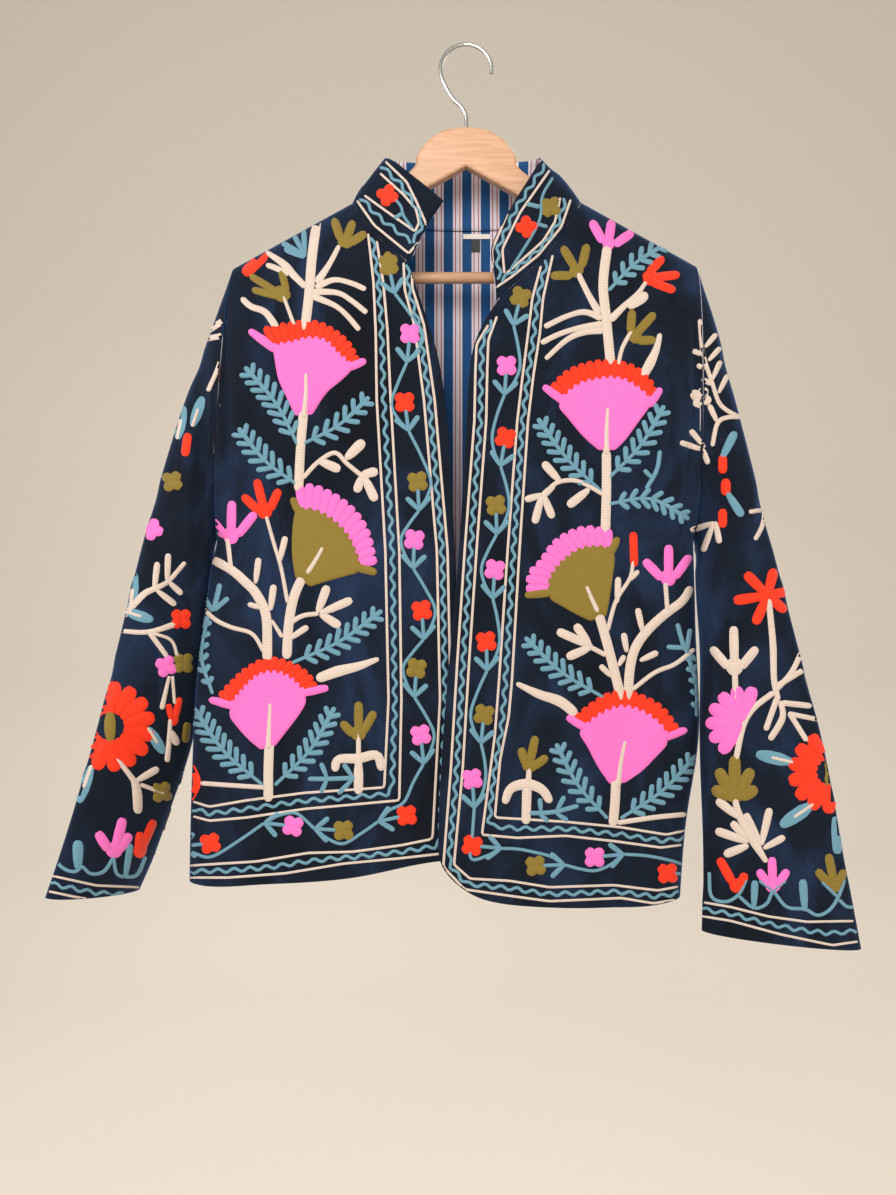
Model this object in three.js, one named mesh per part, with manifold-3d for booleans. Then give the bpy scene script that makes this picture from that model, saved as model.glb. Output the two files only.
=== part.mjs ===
import * as THREE from 'three';
import { mergeVertices } from 'three/addons/utils/BufferGeometryUtils.js';
import Module from 'manifold-3d';

// An embroidered velvet jacket with a short stand collar and long sleeves, hanging open on a wooden hanger.
// Millimetres, +Z up. The front faces -Y, and the wearer's right is at -X.
// The origin is the inner crown of the hanger's hook, where a rail or a peg holds everything up.

// Cloth
const velvetWall = 2.2;
const liningWall = 1;
const seamGap = 0.3;
const armRows = 12;        // rows of a panel down its armhole, and half of a sleeve's columns
const sideRows = 13;       // rows of a panel down its side seam
const halfColumns = 12;    // columns from the middle of the back, or the front edge, to the side
const neckColumn = 4;      // column of the back that starts at the neck end of the shoulder seam
const sleeveRings = 18;
const ringSpacing = 1.15;  // more than 1 sets the rings closer together near the armhole
const foldTurn = 150;      // degrees round the sleeve over which a fold runs on by one station
const capEase = 0.8;       // stations over which the folds fade in below the armhole
const collarRows = 4;
const armholeDepth = 33;   // front and back of an armhole from the side plane
const frontDepth = 40;     // the middle of a front stands this far forward of the side seams
const backDepth = 42;
const sideRoundness = 3;   // exponent of the rounded sides: 2 is an ellipse, more is squarer
const sideEase = { from: 8, to: 18, hold: 12 };   // rows over which the armhole's depth fades
const collarBow = 3;       // how far the collar's middle stands out between its two edges
const seamLean = { under: 0.9, shoulder: 0.6 };   // how far the armhole's wall turns outwards
const frontEase = { middle: 0.6, foldFrom: 0.1, foldTo: 0.3 };   // shares of the width, from the open edge
const foldFade = { in: 0.3, outFrom: 0.8, outTo: 1.6 };          // shares of a fold's length
const weld = 1e-3;

const record = (columns, row) => Object.fromEntries(columns.map((name, i) => [name, row[i]]));
const table = (columns, rows) => rows.map((row) => record(columns, row));
const mix = THREE.MathUtils.lerp;
const smooth = THREE.MathUtils.smoothstep;
const rightAngle = Math.PI / 2;

// Shoulder seams: neck end and tip, on the plane y = 0, with the underarm and the side seam below it
const rightSide = {
  outward: -1,
  neck: { x: -111.5, y: 0, z: -154 },
  tip: { x: -226, y: 0, z: -217 },
  underarm: { x: -243, y: 0, z: -480 },
  seam: table(['z', 'x'], [
    [-480, -243], [-550, -252], [-620, -260], [-695, -266], [-760, -269], [-813, -270],
  ]),
};
const leftSide = {
  outward: 1,
  neck: { x: 112.5, y: 0, z: -153 },
  tip: { x: 224, y: 0, z: -215 },
  underarm: { x: 222, y: 0, z: -480 },
  seam: table(['z', 'x'], [[-480, 222], [-550, 223], [-620, 222], [-690, 220], [-750, 214], [-828, 209]]),
};

// Neckline, then front edge, of each front: the row of the panel and the place in space
const rightFront = {
  side: rightSide,
  collarEnd: 5,
  edge: table(['row', 'x', 'y', 'z'], [
    [0, -111.5, 0, -154], [1, -109.5, -9.5, -159.5], [2, -102, -18, -174], [3, -88.5, -25, -193],
    [4, -71, -32, -210], [5, -54, -38, -224], [6, -46, -42, -254], [7, -34, -44, -288],
    [8, -25, -44.5, -320], [9, -20, -45, -356], [10, -16, -45, -398], [12, -12, -45, -482],
    [15, -9, -44, -551], [19, -8, -43, -640], [25, -6, -42, -783],
  ]),
  hem: table(['across', 'z'], [
    [0, -783], [0.12, -786], [0.3, -797], [0.5, -805], [0.7, -810], [0.9, -814], [1, -813],
  ]),
};
const leftFront = {
  side: leftSide,
  collarEnd: 6,
  edge: table(['row', 'x', 'y', 'z'], [
    [0, 112.5, 0, -153], [1, 110, -9.5, -159.5], [2, 101, -17, -176], [3, 89, -23, -198],
    [4, 69, -31, -222], [5, 43, -39, -247], [6, 28, -44, -262], [7, 11, -45, -290],
    [8, 2.5, -45.5, -316], [9, 0.5, -46, -356], [10, -1.5, -46, -398], [12, -6.5, -46.5, -482],
    [15, -12, -49, -551], [19, -20, -49.5, -640], [23, -26, -49.5, -737], [25, -27, -49, -790],
  ]),
  hem: table(['across', 'z'], [
    [0, -790], [0.06, -808], [0.14, -818], [0.3, -826], [0.5, -829], [0.8, -832], [1, -828],
  ]),
};
const backHem = table(['across', 'z'], [
  [-1, -813], [-0.6, -810], [-0.2, -801], [0.2, -803], [0.6, -820], [1, -828],
]);
const backNeck = { depth: 45, z: -165, roundness: 2.5 };
const backSway = 18;   // how far the middle of the back's hem hangs towards the wearer's right

// Soft folds in the panels: where each starts and ends, its lean in x over its height, and its depth in y
const foldColumns = ['x', 'lean', 'top', 'bottom', 'width', 'depth'];
const frontFolds = table(foldColumns, [
  [-214, 12, -235, -520, 13, 5], [-176, -20, -560, -860, 26, -5], [-118, 14, -600, -860, 24, 4],
  [-150, 30, -190, -420, 22, -3], [196, 8, -235, -540, 14, 5], [160, -26, -560, -870, 24, -5],
  [112, -10, -600, -870, 26, 4], [140, -30, -190, -430, 24, -3],
]);
const backFolds = table(foldColumns, [
  [-186, 16, -260, -860, 24, 6], [-112, -18, -300, -870, 26, -5], [-30, 10, -330, -870, 30, 5],
  [52, 14, -420, -870, 24, -4], [118, -10, -280, -870, 26, 6], [180, -14, -300, -860, 22, -5],
]);

// Sleeves: the top and the under line of each ring, half its thickness, and its turn about the vertical
const ringColumns = ['station', 'topX', 'topY', 'topZ', 'underX', 'underY', 'underZ', 'half', 'turn'];
const rightSleeve = {
  side: rightSide,
  rings: table(ringColumns, [
    [0, -226, 0, -217, -243, 0, -480, 33, 0], [1, -250, -4, -285, -248, 3, -500, 33, 8],
    [2, -278, -10, -365, -255, 8, -545, 32, 16], [3, -305, -20, -468, -265, 15, -610, 29, 26],
    [4, -327, -31, -575, -274, 23, -680, 26, 36], [5, -349, -42, -678, -297, 32, -745, 24, 44],
    [6, -371, -51, -764, -317, 39, -798, 22, 50], [7, -386, -57, -815, -335, 44, -836, 21, 54],
  ]),
  folds: table(['station', 'angle', 'reach', 'spread', 'depth'], [
    [0.9, 60, 0.35, 40, 4], [1.5, 95, 0.35, 45, -5], [2.2, 70, 0.3, 50, 4], [3.1, 110, 0.3, 50, -4],
    [4.1, 60, 0.3, 40, 4], [5, 100, 0.35, 45, -3], [2, 260, 0.4, 50, -5], [3.2, 290, 0.35, 45, 4],
    [4.4, 250, 0.35, 45, -4],
  ]),
};
const leftSleeve = {
  side: leftSide,
  rings: table(ringColumns, [
    [0, 224, 0, -215, 222, 0, -480, 33, 0], [1, 245, -5, -285, 227, -2, -505, 33, -2],
    [2, 264, -12, -368, 231, -6, -560, 30, -3], [3, 290, -20, -480, 232, -10, -625, 26, -4],
    [4, 314, -28, -585, 230, -15, -690, 22, -5], [5, 338, -34, -685, 228, -21, -755, 19, -6],
    [6, 353, -40, -782, 225, -27, -808, 17, -6], [7, 367, -44, -866, 222, -32, -853, 15, -6],
  ]),
  folds: table(['station', 'angle', 'reach', 'spread', 'depth'], [
    [0.9, 60, 0.35, 40, 4], [1.6, 100, 0.35, 45, -4], [2.6, 60, 0.3, 40, 4], [3.6, 110, 0.35, 45, -3],
    [4.6, 50, 0.35, 35, 3], [2, 260, 0.4, 50, -5], [3.2, 290, 0.35, 45, 3], [4.4, 250, 0.35, 45, -3],
  ]),
};

// Upper edge of the collar, from the wearer's right front end round the back to the left front end
const collarTop = table(['along', 'x', 'y', 'z'], [
  [0, -22, -36, -166], [1, -35, -34, -154], [2, -56, -28, -135], [3, -68, -20, -122], [4, -76, -11, -114],
  [5, -81, 1, -109], [6, -79, 18, -103], [7, -70, 34, -98], [9, 0, 50, -94], [11, 64, 35, -97],
  [12, 72, 20, -101], [13, 74, 2, -107], [14, 71, -8, -116], [15, 63, -15, -132], [16, 54, -23, -148],
  [17, 43, -30, -168], [18, 32, -36, -189], [19, 21, -40, -212],
]);

// Blank woven label: a bar and a narrower tab under it, just inside the back of the neck
const tag = {
  x: 11.5, y: 39.3, top: -168.5, width: 27.6, height: 5, thickness: 0.8,
  tabX: 10.5, tabWidth: 9, tabHeight: 13,
};

// Hanger
const wood = {
  thickness: 12,
  bevel: 2.5,
  crown: -81,
  notch: -119.5,
  outline: table(['x', 'z'], [[22, -84], [36, -93], [48, -108], [55, -124], [111, -161], [206, -212.5]]),
  tip: { x: 216, z: -222 },
  foot: { outer: 208, inner: 182, z: -238 },
  underside: { x: 168, z: -214 },
  innerCorner: { x: 180, z: -222, end: -218 },
  outerCorner: 218,
  crownHalf: 10,
  boreAbove: 5,
  curvePoints: 4,
};
const bar = { radius: 5.5, z: -226.5, sides: 16 };
const wire = {
  radius: 1.95, bend: 25, tipAngle: -8, backAngle: 201.6, stemX: 0, stemTop: -69, stemEnd: -97, boreEnd: -98,
  neck: table(['x', 'z'], [[-13, -28], [-4, -37]]),   // from the middle of the bend
  sides: 10, bendPoints: 20, steps: 44,
};

// Place between the rows of a table, on a smooth curve through them
function between(rows, key, value, name) {
  const last = rows.length - 1;
  const rising = rows[last][key] > rows[0][key];
  let i = 0;
  while (i < last - 1 && (rising ? value > rows[i + 1][key] : value < rows[i + 1][key])) {
    i += 1;
  }
  const slope = (k) => {
    const before = rows[Math.max(k - 1, 0)];
    const after = rows[Math.min(k + 1, last)];
    return (after[name] - before[name]) / (after[key] - before[key]);
  };
  const span = rows[i + 1][key] - rows[i][key];
  const t = (value - rows[i][key]) / span;
  const start = (1 + 2 * t) * (1 - t) * (1 - t) * rows[i][name] + t * (1 - t) * (1 - t) * span * slope(i);
  const end = t * t * (3 - 2 * t) * rows[i + 1][name] - t * t * (1 - t) * span * slope(i + 1);
  return start + end;
}

function placeBetween(rows, key, value) {
  const at = (name) => between(rows, key, value, name);
  return new THREE.Vector3(at('x'), at('y'), at('z'));
}

// Outward directions of a grid of points; turn is 1 where columns cross rows outwards
function gridNormals(points, turn, wrap) {
  const lastRow = points.length - 1;
  const columns = points[0].length;
  return points.map((row, r) => row.map((unused, c) => {
    const left = wrap ? (c + columns - 1) % columns : Math.max(c - 1, 0);
    const right = wrap ? (c + 1) % columns : Math.min(c + 1, columns - 1);
    const across = row[right].clone().sub(row[left]);
    const down = points[Math.min(r + 1, lastRow)][c].clone().sub(points[Math.max(r - 1, 0)][c]);
    return across.cross(down).multiplyScalar(turn).normalize();
  }));
}

// A closed wall of cloth on a grid of points, from one depth under it to another
function wall({ points, normals, turn, wrap = false }, depth, thickness) {
  const rows = points.length;
  const columns = points[0].length;
  const positions = [];
  for (const offset of [depth, depth + thickness]) {
    points.forEach((row, r) => row.forEach((p, c) => {
      positions.push(...p.clone().addScaledVector(normals[r][c], -offset).toArray());
    }));
  }
  const index = [];
  const outer = (r, c) => r * columns + (c % columns);
  const inner = (r, c) => rows * columns + outer(r, c);
  const face = (a, b, c, d) => index.push(...(turn > 0 ? [a, b, c, a, c, d] : [a, c, b, a, d, c]));
  const lastColumn = wrap ? columns : columns - 1;
  for (let r = 0; r < rows - 1; r += 1) {
    for (let c = 0; c < lastColumn; c += 1) {
      face(outer(r, c), outer(r, c + 1), outer(r + 1, c + 1), outer(r + 1, c));
      face(inner(r, c), inner(r + 1, c), inner(r + 1, c + 1), inner(r, c + 1));
    }
  }
  for (let c = 0; c < lastColumn; c += 1) {
    face(outer(0, c + 1), outer(0, c), inner(0, c), inner(0, c + 1));
    face(outer(rows - 1, c), outer(rows - 1, c + 1), inner(rows - 1, c + 1), inner(rows - 1, c));
  }
  for (let r = 0; r < rows - 1 && !wrap; r += 1) {
    face(outer(r, 0), outer(r + 1, 0), inner(r + 1, 0), inner(r, 0));
    face(outer(r + 1, lastColumn), outer(r, lastColumn), inner(r, lastColumn), inner(r + 1, lastColumn));
  }
  const geometry = new THREE.BufferGeometry();
  geometry.setAttribute('position', new THREE.Float32BufferAttribute(positions, 3));
  geometry.setIndex(index);
  return geometry;
}

// Armhole: a tall ellipse from the shoulder tip, round the front, to the underarm and up the back
function armholePoint(side, angle) {
  const down = (1 - Math.cos(angle)) / 2;
  const x = mix(side.tip.x, side.underarm.x, down);
  const z = mix(side.tip.z, side.underarm.z, down);
  return new THREE.Vector3(x, -armholeDepth * Math.sin(angle), z);
}

function armholeNormal(side, angle, under) {
  const half = (side.tip.z - side.underarm.z) / 2;
  const normal = new THREE.Vector3(0, -Math.sin(angle) / armholeDepth, Math.cos(angle) / half).normalize();
  const low = ((1 - Math.cos(angle)) / 2) ** 3;
  normal.multiplyScalar(1 - seamLean.under * low);
  normal.x = side.outward * (seamLean.shoulder * ((1 + Math.cos(angle)) / 2) ** 2 + under * low);
  return normal.normalize();
}

// The side of a panel at each row: down the armhole, then down the side seam to the hem
function sidePoint(side, row, hemZ) {
  if (row <= armRows) {
    return armholePoint(side, (Math.PI * row) / armRows);
  }
  const z = mix(side.underarm.z, hemZ, (row - armRows) / sideRows);
  return new THREE.Vector3(between(side.seam, 'z', z, 'x'), 0, z);
}

function foldDepth(folds, x, z) {
  return folds.reduce((sum, fold) => {
    const way = (fold.top - z) / (fold.top - fold.bottom);
    const away = (x - fold.x - fold.lean * way) / fold.width;
    const length = smooth(way, 0, foldFade.in) * (1 - smooth(way, foldFade.outFrom, foldFade.outTo));
    return sum + fold.depth * Math.exp(-away * away) * length;
  }, 0);
}

// How full the depth of a panel is, from 1 at its middle to 0 at its side
const fullness = (across) => (1 - across ** sideRoundness) ** (1 / sideRoundness);
const drape = (row) => Math.sin(rightAngle * Math.min(row / (armRows / 2), 1));

// Depth across a panel: flat in its middle, rounded to its side, and held to the armhole only close to it
function panelDepth(across, row, middle, sideDepth) {
  const eased = armholeDepth * drape(row) * (1 - smooth(row, sideEase.from, sideEase.to));
  return mix(eased, middle, fullness(across)) + (sideDepth - eased) * across ** sideEase.hold;
}

function seamNormals(grid, side, column, forward) {
  grid.normals[0].forEach((normal) => normal.setY(0).normalize());
  grid.points.forEach((row, r) => {
    const normal = grid.normals[r][column];
    if (r > armRows) {
      normal.setY(0).normalize();
    } else {
      const angle = (Math.PI * r) / armRows;
      normal.copy(armholeNormal(side, forward ? angle : -angle, 1));
    }
  });
}

function frontGrid({ side, edge, hem }) {
  const rows = armRows + sideRows;
  const sideHem = hem[hem.length - 1].z;
  const points = [];
  for (let row = 0; row <= rows; row += 1) {
    const start = placeBetween(edge, 'row', row);
    const end = sidePoint(side, row, sideHem);
    const low = smooth(row, armRows, rows);
    points.push([]);
    for (let column = 0; column <= halfColumns; column += 1) {
      const across = Math.sin((rightAngle * column) / halfColumns);
      const x = mix(start.x, end.x, across);
      const straight = mix(start.z, end.z, across);
      const hemDrop = between(hem, 'across', across, 'z') - mix(hem[0].z, sideHem, across);
      const z = straight + hemDrop * low ** 3;
      const middle = mix(-start.y, frontDepth * drape(row), smooth(across, 0, frontEase.middle));
      const inside = row > 0 ? smooth(across, frontEase.foldFrom, frontEase.foldTo) : 0;
      const fold = foldDepth(frontFolds, x, z) * inside * fullness(across);
      const y = -panelDepth(across, row, middle, Math.abs(end.y)) - fold;
      points[row].push(new THREE.Vector3(x, Math.min(y, -seamGap / 2), z));
    }
  }
  const grid = { points, turn: -side.outward };
  grid.normals = gridNormals(points, grid.turn, false);
  seamNormals(grid, side, halfColumns, true);
  return grid;
}

function backGrid() {
  const rows = armRows + sideRows;
  const points = [];
  for (let row = 0; row <= rows; row += 1) {
    points.push([]);
    for (let column = -halfColumns; column <= halfColumns; column += 1) {
      const side = column < 0 ? rightSide : leftSide;
      const across = Math.sin((rightAngle * Math.abs(column)) / halfColumns);
      const neckAcross = Math.sin((rightAngle * neckColumn) / halfColumns);
      const toNeck = Math.min(across / neckAcross, 1);
      const toTip = Math.max((across - neckAcross) / (1 - neckAcross), 0);
      const sideHem = side.seam[side.seam.length - 1].z;
      const end = sidePoint(side, row, sideHem);
      const fall = (end.z - side.tip.z) / (sideHem - side.tip.z);
      const centreX = mix(0, (rightSide.underarm.x + leftSide.underarm.x) / 2 - backSway, fall);
      const neckX = mix(side.neck.x, mix(centreX, end.x, 0.5), smooth(fall, 0, 1));
      const x = toTip > 0 ? mix(neckX, end.x, toTip) : mix(centreX, neckX, toNeck);
      const shoulderZ = mix(side.neck.z, side.tip.z, toTip);
      const topZ = toTip > 0 ? shoulderZ : mix(backNeck.z, side.neck.z, toNeck ** 3);
      const hemZ = between(backHem, 'across', Math.sign(column) * across, 'z');
      const z = column === -halfColumns || column === halfColumns ? end.z : mix(topZ, hemZ, fall);
      const neckY = backNeck.depth * Math.sqrt(Math.max(1 - toNeck ** backNeck.roundness, 0));
      const middle = mix(neckY, backDepth, drape(row));
      const fold = foldDepth(backFolds, x, z) * (row > 0 ? 1 : 0) * fullness(across);
      const y = (row > 0 ? panelDepth(across, row, middle, Math.abs(end.y)) : neckY) + fold;
      points[row].push(new THREE.Vector3(x, Math.max(y, seamGap / 2), z));
    }
  }
  const grid = { points, turn: 1 };
  grid.normals = gridNormals(points, grid.turn, false);
  seamNormals(grid, rightSide, 0, false);
  seamNormals(grid, leftSide, 2 * halfColumns, false);
  for (let column = halfColumns - neckColumn + 1; column < halfColumns + neckColumn; column += 1) {
    grid.normals[0][column].copy(grid.normals[1][column]);
  }
  return grid;
}

function sleeveGrid({ side, rings, folds }) {
  const columns = 2 * armRows;
  const points = [];
  for (let ring = 0; ring <= sleeveRings; ring += 1) {
    const station = (rings.length - 1) * (ring / sleeveRings) ** ringSpacing;
    const at = (name) => between(rings, 'station', station, name);
    const top = new THREE.Vector3(at('topX'), at('topY'), at('topZ'));
    const under = new THREE.Vector3(at('underX'), at('underY'), at('underZ'));
    const centre = top.clone().add(under).multiplyScalar(0.5);
    const reach = top.clone().sub(centre);
    const turn = THREE.MathUtils.degToRad(at('turn'));
    const front = new THREE.Vector3(Math.sin(turn), -Math.cos(turn), 0).multiplyScalar(at('half'));
    points.push([]);
    for (let column = 0; column < columns; column += 1) {
      const angle = (2 * Math.PI * column) / columns;
      const degrees = THREE.MathUtils.radToDeg(angle);
      const spoke = reach.clone().multiplyScalar(Math.cos(angle)).addScaledVector(front, Math.sin(angle));
      const fold = folds.reduce((sum, crease) => {
        const away = (station - crease.station - (degrees - crease.angle) / foldTurn) / crease.reach;
        const round = (degrees - crease.angle) / crease.spread;
        return sum + crease.depth * Math.exp(-away * away - round * round);
      }, 0);
      const out = spoke.clone().normalize().multiplyScalar(fold * smooth(station, 0, capEase));
      points[ring].push(centre.clone().add(spoke).add(out));
    }
  }
  points[0] = points[0].map((unused, column) => {
    const place = armholePoint(side, (2 * Math.PI * column) / columns);
    place.x += side.outward * seamGap;
    return place;
  });
  const grid = { points, turn: side.outward, wrap: true };
  grid.normals = gridNormals(points, grid.turn, true);
  grid.normals[0] = points[0].map((unused, column) => {
    return armholeNormal(side, (2 * Math.PI * column) / columns, -1);
  });
  return grid;
}

// The collar stands on the neck edges of the three panels, point by point
function collarGrid(right, back, left) {
  const seam = [];
  for (let row = rightFront.collarEnd; row > 0; row -= 1) {
    seam.push(right.points[row][0]);
  }
  for (let column = halfColumns - neckColumn; column <= halfColumns + neckColumn; column += 1) {
    seam.push(back.points[0][column]);
  }
  for (let row = 1; row <= leftFront.collarEnd; row += 1) {
    seam.push(left.points[row][0]);
  }
  const points = [];
  for (let row = 0; row <= collarRows; row += 1) {
    const up = row / collarRows;
    points.push(seam.map((low, along) => {
      const high = placeBetween(collarTop, 'along', along);
      const middle = new THREE.Vector3(0, 0, low.z);
      const bow = collarBow * Math.sin(Math.PI * up);
      const out = low.clone().sub(middle).normalize().multiplyScalar(bow);
      const rise = high.clone().sub(low);
      const gap = rise.clone().normalize().multiplyScalar(seamGap * (1 - up));
      return low.clone().addScaledVector(rise, up).add(gap).add(out);
    }));
  }
  const grid = { points, turn: -1 };
  grid.normals = gridNormals(points, grid.turn, false);
  return grid;
}

function liningGrid(back) {
  const inside = (rows) => rows.slice(1, -1).map((row) => row.slice(1, -1));
  return { points: inside(back.points), normals: inside(back.normals), turn: back.turn };
}

function label() {
  const foot = tag.top - tag.height;
  const shape = new THREE.Shape();
  shape.moveTo(tag.x - tag.width / 2, tag.top);
  shape.lineTo(tag.x - tag.width / 2, foot);
  shape.lineTo(tag.tabX - tag.tabWidth / 2, foot);
  shape.lineTo(tag.tabX - tag.tabWidth / 2, foot - tag.tabHeight);
  shape.lineTo(tag.tabX + tag.tabWidth / 2, foot - tag.tabHeight);
  shape.lineTo(tag.tabX + tag.tabWidth / 2, foot);
  shape.lineTo(tag.x + tag.width / 2, foot);
  shape.lineTo(tag.x + tag.width / 2, tag.top);
  const tab = new THREE.ExtrudeGeometry(shape, { depth: tag.thickness, bevelEnabled: false });
  tab.rotateX(rightAngle);
  tab.translate(0, tag.y, 0);
  return tab;
}

function clothMaterial(color, roughness) {
  return new THREE.MeshStandardMaterial({ color, roughness, metalness: 0, side: THREE.DoubleSide });
}

function addMesh(parent, name, geometry, material) {
  const mesh = new THREE.Mesh(geometry, material);
  mesh.name = name;
  parent.add(mesh);
  return mesh;
}

// Closed geometry with its shared points merged, ready for a cut
function solidOf(wasm, geometry) {
  const bare = geometry.clone();
  bare.deleteAttribute('normal');
  bare.deleteAttribute('uv');
  const merged = mergeVertices(bare, weld);
  const mesh = { numProp: 3, vertProperties: merged.attributes.position.array, triVerts: merged.index.array };
  return new wasm.Manifold(new wasm.Mesh({ ...mesh, triVerts: Uint32Array.from(mesh.triVerts) }));
}

function geometryOf(solid) {
  const mesh = solid.getMesh();
  const geometry = new THREE.BufferGeometry();
  geometry.setAttribute('position', new THREE.Float32BufferAttribute(mesh.vertProperties, 3));
  geometry.setIndex(Array.from(mesh.triVerts));
  return geometry;
}

function hangerWood(wasm) {
  const shape = new THREE.Shape();
  shape.moveTo(0, wood.notch);
  shape.lineTo(wood.underside.x, wood.underside.z);
  shape.quadraticCurveTo(wood.innerCorner.x, wood.innerCorner.z, wood.foot.inner, wood.innerCorner.end);
  shape.lineTo(wood.foot.inner, wood.foot.z);
  shape.lineTo(wood.foot.outer, wood.foot.z);
  shape.quadraticCurveTo(wood.outerCorner, wood.foot.z, wood.tip.x, wood.tip.z);
  const top = wood.outline.map((p) => new THREE.Vector2(p.x, p.z)).reverse();
  shape.lineTo(top[0].x, top[0].y);
  shape.lineTo(top[1].x, top[1].y);
  shape.splineThru(top.slice(2));
  shape.quadraticCurveTo(wood.crownHalf, wood.crown, 0, wood.crown);
  const half = shape.getPoints(wood.curvePoints);
  const mirrored = half.slice(1, -1).reverse().map((p) => new THREE.Vector2(-p.x, p.y));
  const whole = new THREE.Shape([...half, ...mirrored]);
  const options = {
    depth: wood.thickness - 2 * wood.bevel,
    bevelEnabled: true,
    bevelThickness: wood.bevel,
    bevelSize: wood.bevel,
    bevelOffset: -wood.bevel,
    bevelSegments: 2,
    steps: 1,
  };
  const board = new THREE.ExtrudeGeometry(whole, options);
  board.translate(0, 0, wood.bevel - wood.thickness / 2);
  board.rotateX(rightAngle);
  const boreLength = wood.crown + wood.boreAbove - wire.boreEnd;
  const boreRadius = wire.radius + seamGap;
  const bore = new THREE.CylinderGeometry(boreRadius, boreRadius, boreLength, wire.sides);
  bore.rotateX(rightAngle);
  bore.translate(wire.stemX, 0, wire.boreEnd + boreLength / 2);
  return geometryOf(solidOf(wasm, board).subtract(solidOf(wasm, bore)));
}

function hangerBar() {
  const length = 2 * (wood.foot.inner - seamGap);
  const dowel = new THREE.CylinderGeometry(bar.radius, bar.radius, length, bar.sides);
  dowel.rotateZ(rightAngle);
  dowel.translate(0, 0, bar.z);
  return dowel;
}

function hangerHook() {
  const centre = -(wire.bend - wire.radius);
  const start = THREE.MathUtils.degToRad(wire.tipAngle);
  const end = THREE.MathUtils.degToRad(wire.backAngle);
  const bow = new THREE.EllipseCurve(0, centre, wire.bend, wire.bend, start, end);
  const bends = bow.getPoints(wire.bendPoints).map((p) => new THREE.Vector3(p.x, 0, p.y));
  const neck = wire.neck.map((p) => new THREE.Vector3(wire.stemX + p.x, 0, centre + p.z));
  const stemPlaces = [wire.stemTop, (wire.stemTop + wire.stemEnd) / 2, wire.stemEnd];
  const stem = stemPlaces.map((z) => new THREE.Vector3(wire.stemX, 0, z));
  const route = new THREE.CatmullRomCurve3([...bends, ...neck, ...stem], false, 'centripetal');
  const ring = new THREE.Shape();
  ring.absarc(0, 0, wire.radius, 0, 2 * Math.PI, false);
  const section = new THREE.Shape(ring.getSpacedPoints(wire.sides).slice(0, -1));
  return new THREE.ExtrudeGeometry(section, { extrudePath: route, steps: wire.steps, bevelEnabled: false });
}

const wasm = await Module();
wasm.setup();

const velvet = () => clothMaterial(0x0d1830, 0.8);
const stripes = () => clothMaterial(0x4f6fa3, 0.85);
const jacket = new THREE.Group();
const hanger = new THREE.Group();

const rightPanel = frontGrid(rightFront);
const leftPanel = frontGrid(leftFront);
const backPanel = backGrid();
addMesh(jacket, 'front_right', wall(rightPanel, 0, velvetWall), velvet());
addMesh(jacket, 'front_left', wall(leftPanel, 0, velvetWall), velvet());
addMesh(jacket, 'back', wall(backPanel, 0, velvetWall), velvet());
addMesh(jacket, 'sleeve_right', wall(sleeveGrid(rightSleeve), 0, velvetWall), velvet());
addMesh(jacket, 'sleeve_left', wall(sleeveGrid(leftSleeve), 0, velvetWall), velvet());
const collarBand = collarGrid(rightPanel, backPanel, leftPanel);
addMesh(jacket, 'collar', wall(collarBand, 0, velvetWall), velvet());
addMesh(jacket, 'collar_lining', wall(collarBand, velvetWall + seamGap, liningWall), stripes());
addMesh(jacket, 'back_lining', wall(liningGrid(backPanel), velvetWall + seamGap, liningWall), stripes());

addMesh(jacket, 'label', label(), clothMaterial(0xf2f1ee, 0.7));

const woodMaterial = new THREE.MeshStandardMaterial({ color: 0xe3b07e, roughness: 0.45, metalness: 0 });
const steelMaterial = new THREE.MeshStandardMaterial({ color: 0xb9bcc0, roughness: 0.25, metalness: 1 });
addMesh(hanger, 'hanger_wood', hangerWood(wasm), woodMaterial);
addMesh(hanger, 'hanger_bar', hangerBar(), woodMaterial.clone());
addMesh(hanger, 'hanger_hook', hangerHook(), steelMaterial);

const group = new THREE.Group();
group.add(jacket, hanger);
export default group;
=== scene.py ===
import math

import bmesh
import bpy
import numpy as np
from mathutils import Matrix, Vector
from mathutils.bvhtree import BVHTree
from mathutils.kdtree import KDTree


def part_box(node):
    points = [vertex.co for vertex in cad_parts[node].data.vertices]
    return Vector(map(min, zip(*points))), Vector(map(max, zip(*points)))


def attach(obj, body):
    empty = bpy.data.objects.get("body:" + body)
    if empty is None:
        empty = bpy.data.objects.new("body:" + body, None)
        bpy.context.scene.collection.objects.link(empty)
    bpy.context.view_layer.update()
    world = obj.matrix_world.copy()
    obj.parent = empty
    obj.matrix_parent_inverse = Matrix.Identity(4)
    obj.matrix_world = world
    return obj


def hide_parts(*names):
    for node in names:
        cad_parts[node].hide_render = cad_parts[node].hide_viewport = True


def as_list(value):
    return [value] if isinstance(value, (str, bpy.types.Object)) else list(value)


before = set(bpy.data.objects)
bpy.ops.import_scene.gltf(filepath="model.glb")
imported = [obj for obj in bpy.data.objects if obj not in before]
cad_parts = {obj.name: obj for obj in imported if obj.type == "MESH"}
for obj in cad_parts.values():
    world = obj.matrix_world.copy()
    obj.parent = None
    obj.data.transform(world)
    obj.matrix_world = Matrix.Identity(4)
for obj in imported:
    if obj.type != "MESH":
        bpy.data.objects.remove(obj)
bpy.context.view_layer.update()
mm = 0.001

# Camera: level with the middle of the jacket and square to it, with a phone's wide lens
view = {"place": (-0.0176, -0.909, -0.539), "lens": 28, "sensor": 36}
cameraData = bpy.data.cameras.new("camera")
cameraData.lens = view["lens"]
cameraData.sensor_width = view["sensor"]
camera = bpy.data.objects.new("camera", cameraData)
camera.location = view["place"]
camera.rotation_euler = (math.pi / 2, 0, 0)
bpy.context.collection.objects.link(camera)
bpy.context.scene.camera = camera
bpy.context.scene.view_settings.view_transform = "Standard"
print("camera placed")


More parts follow.
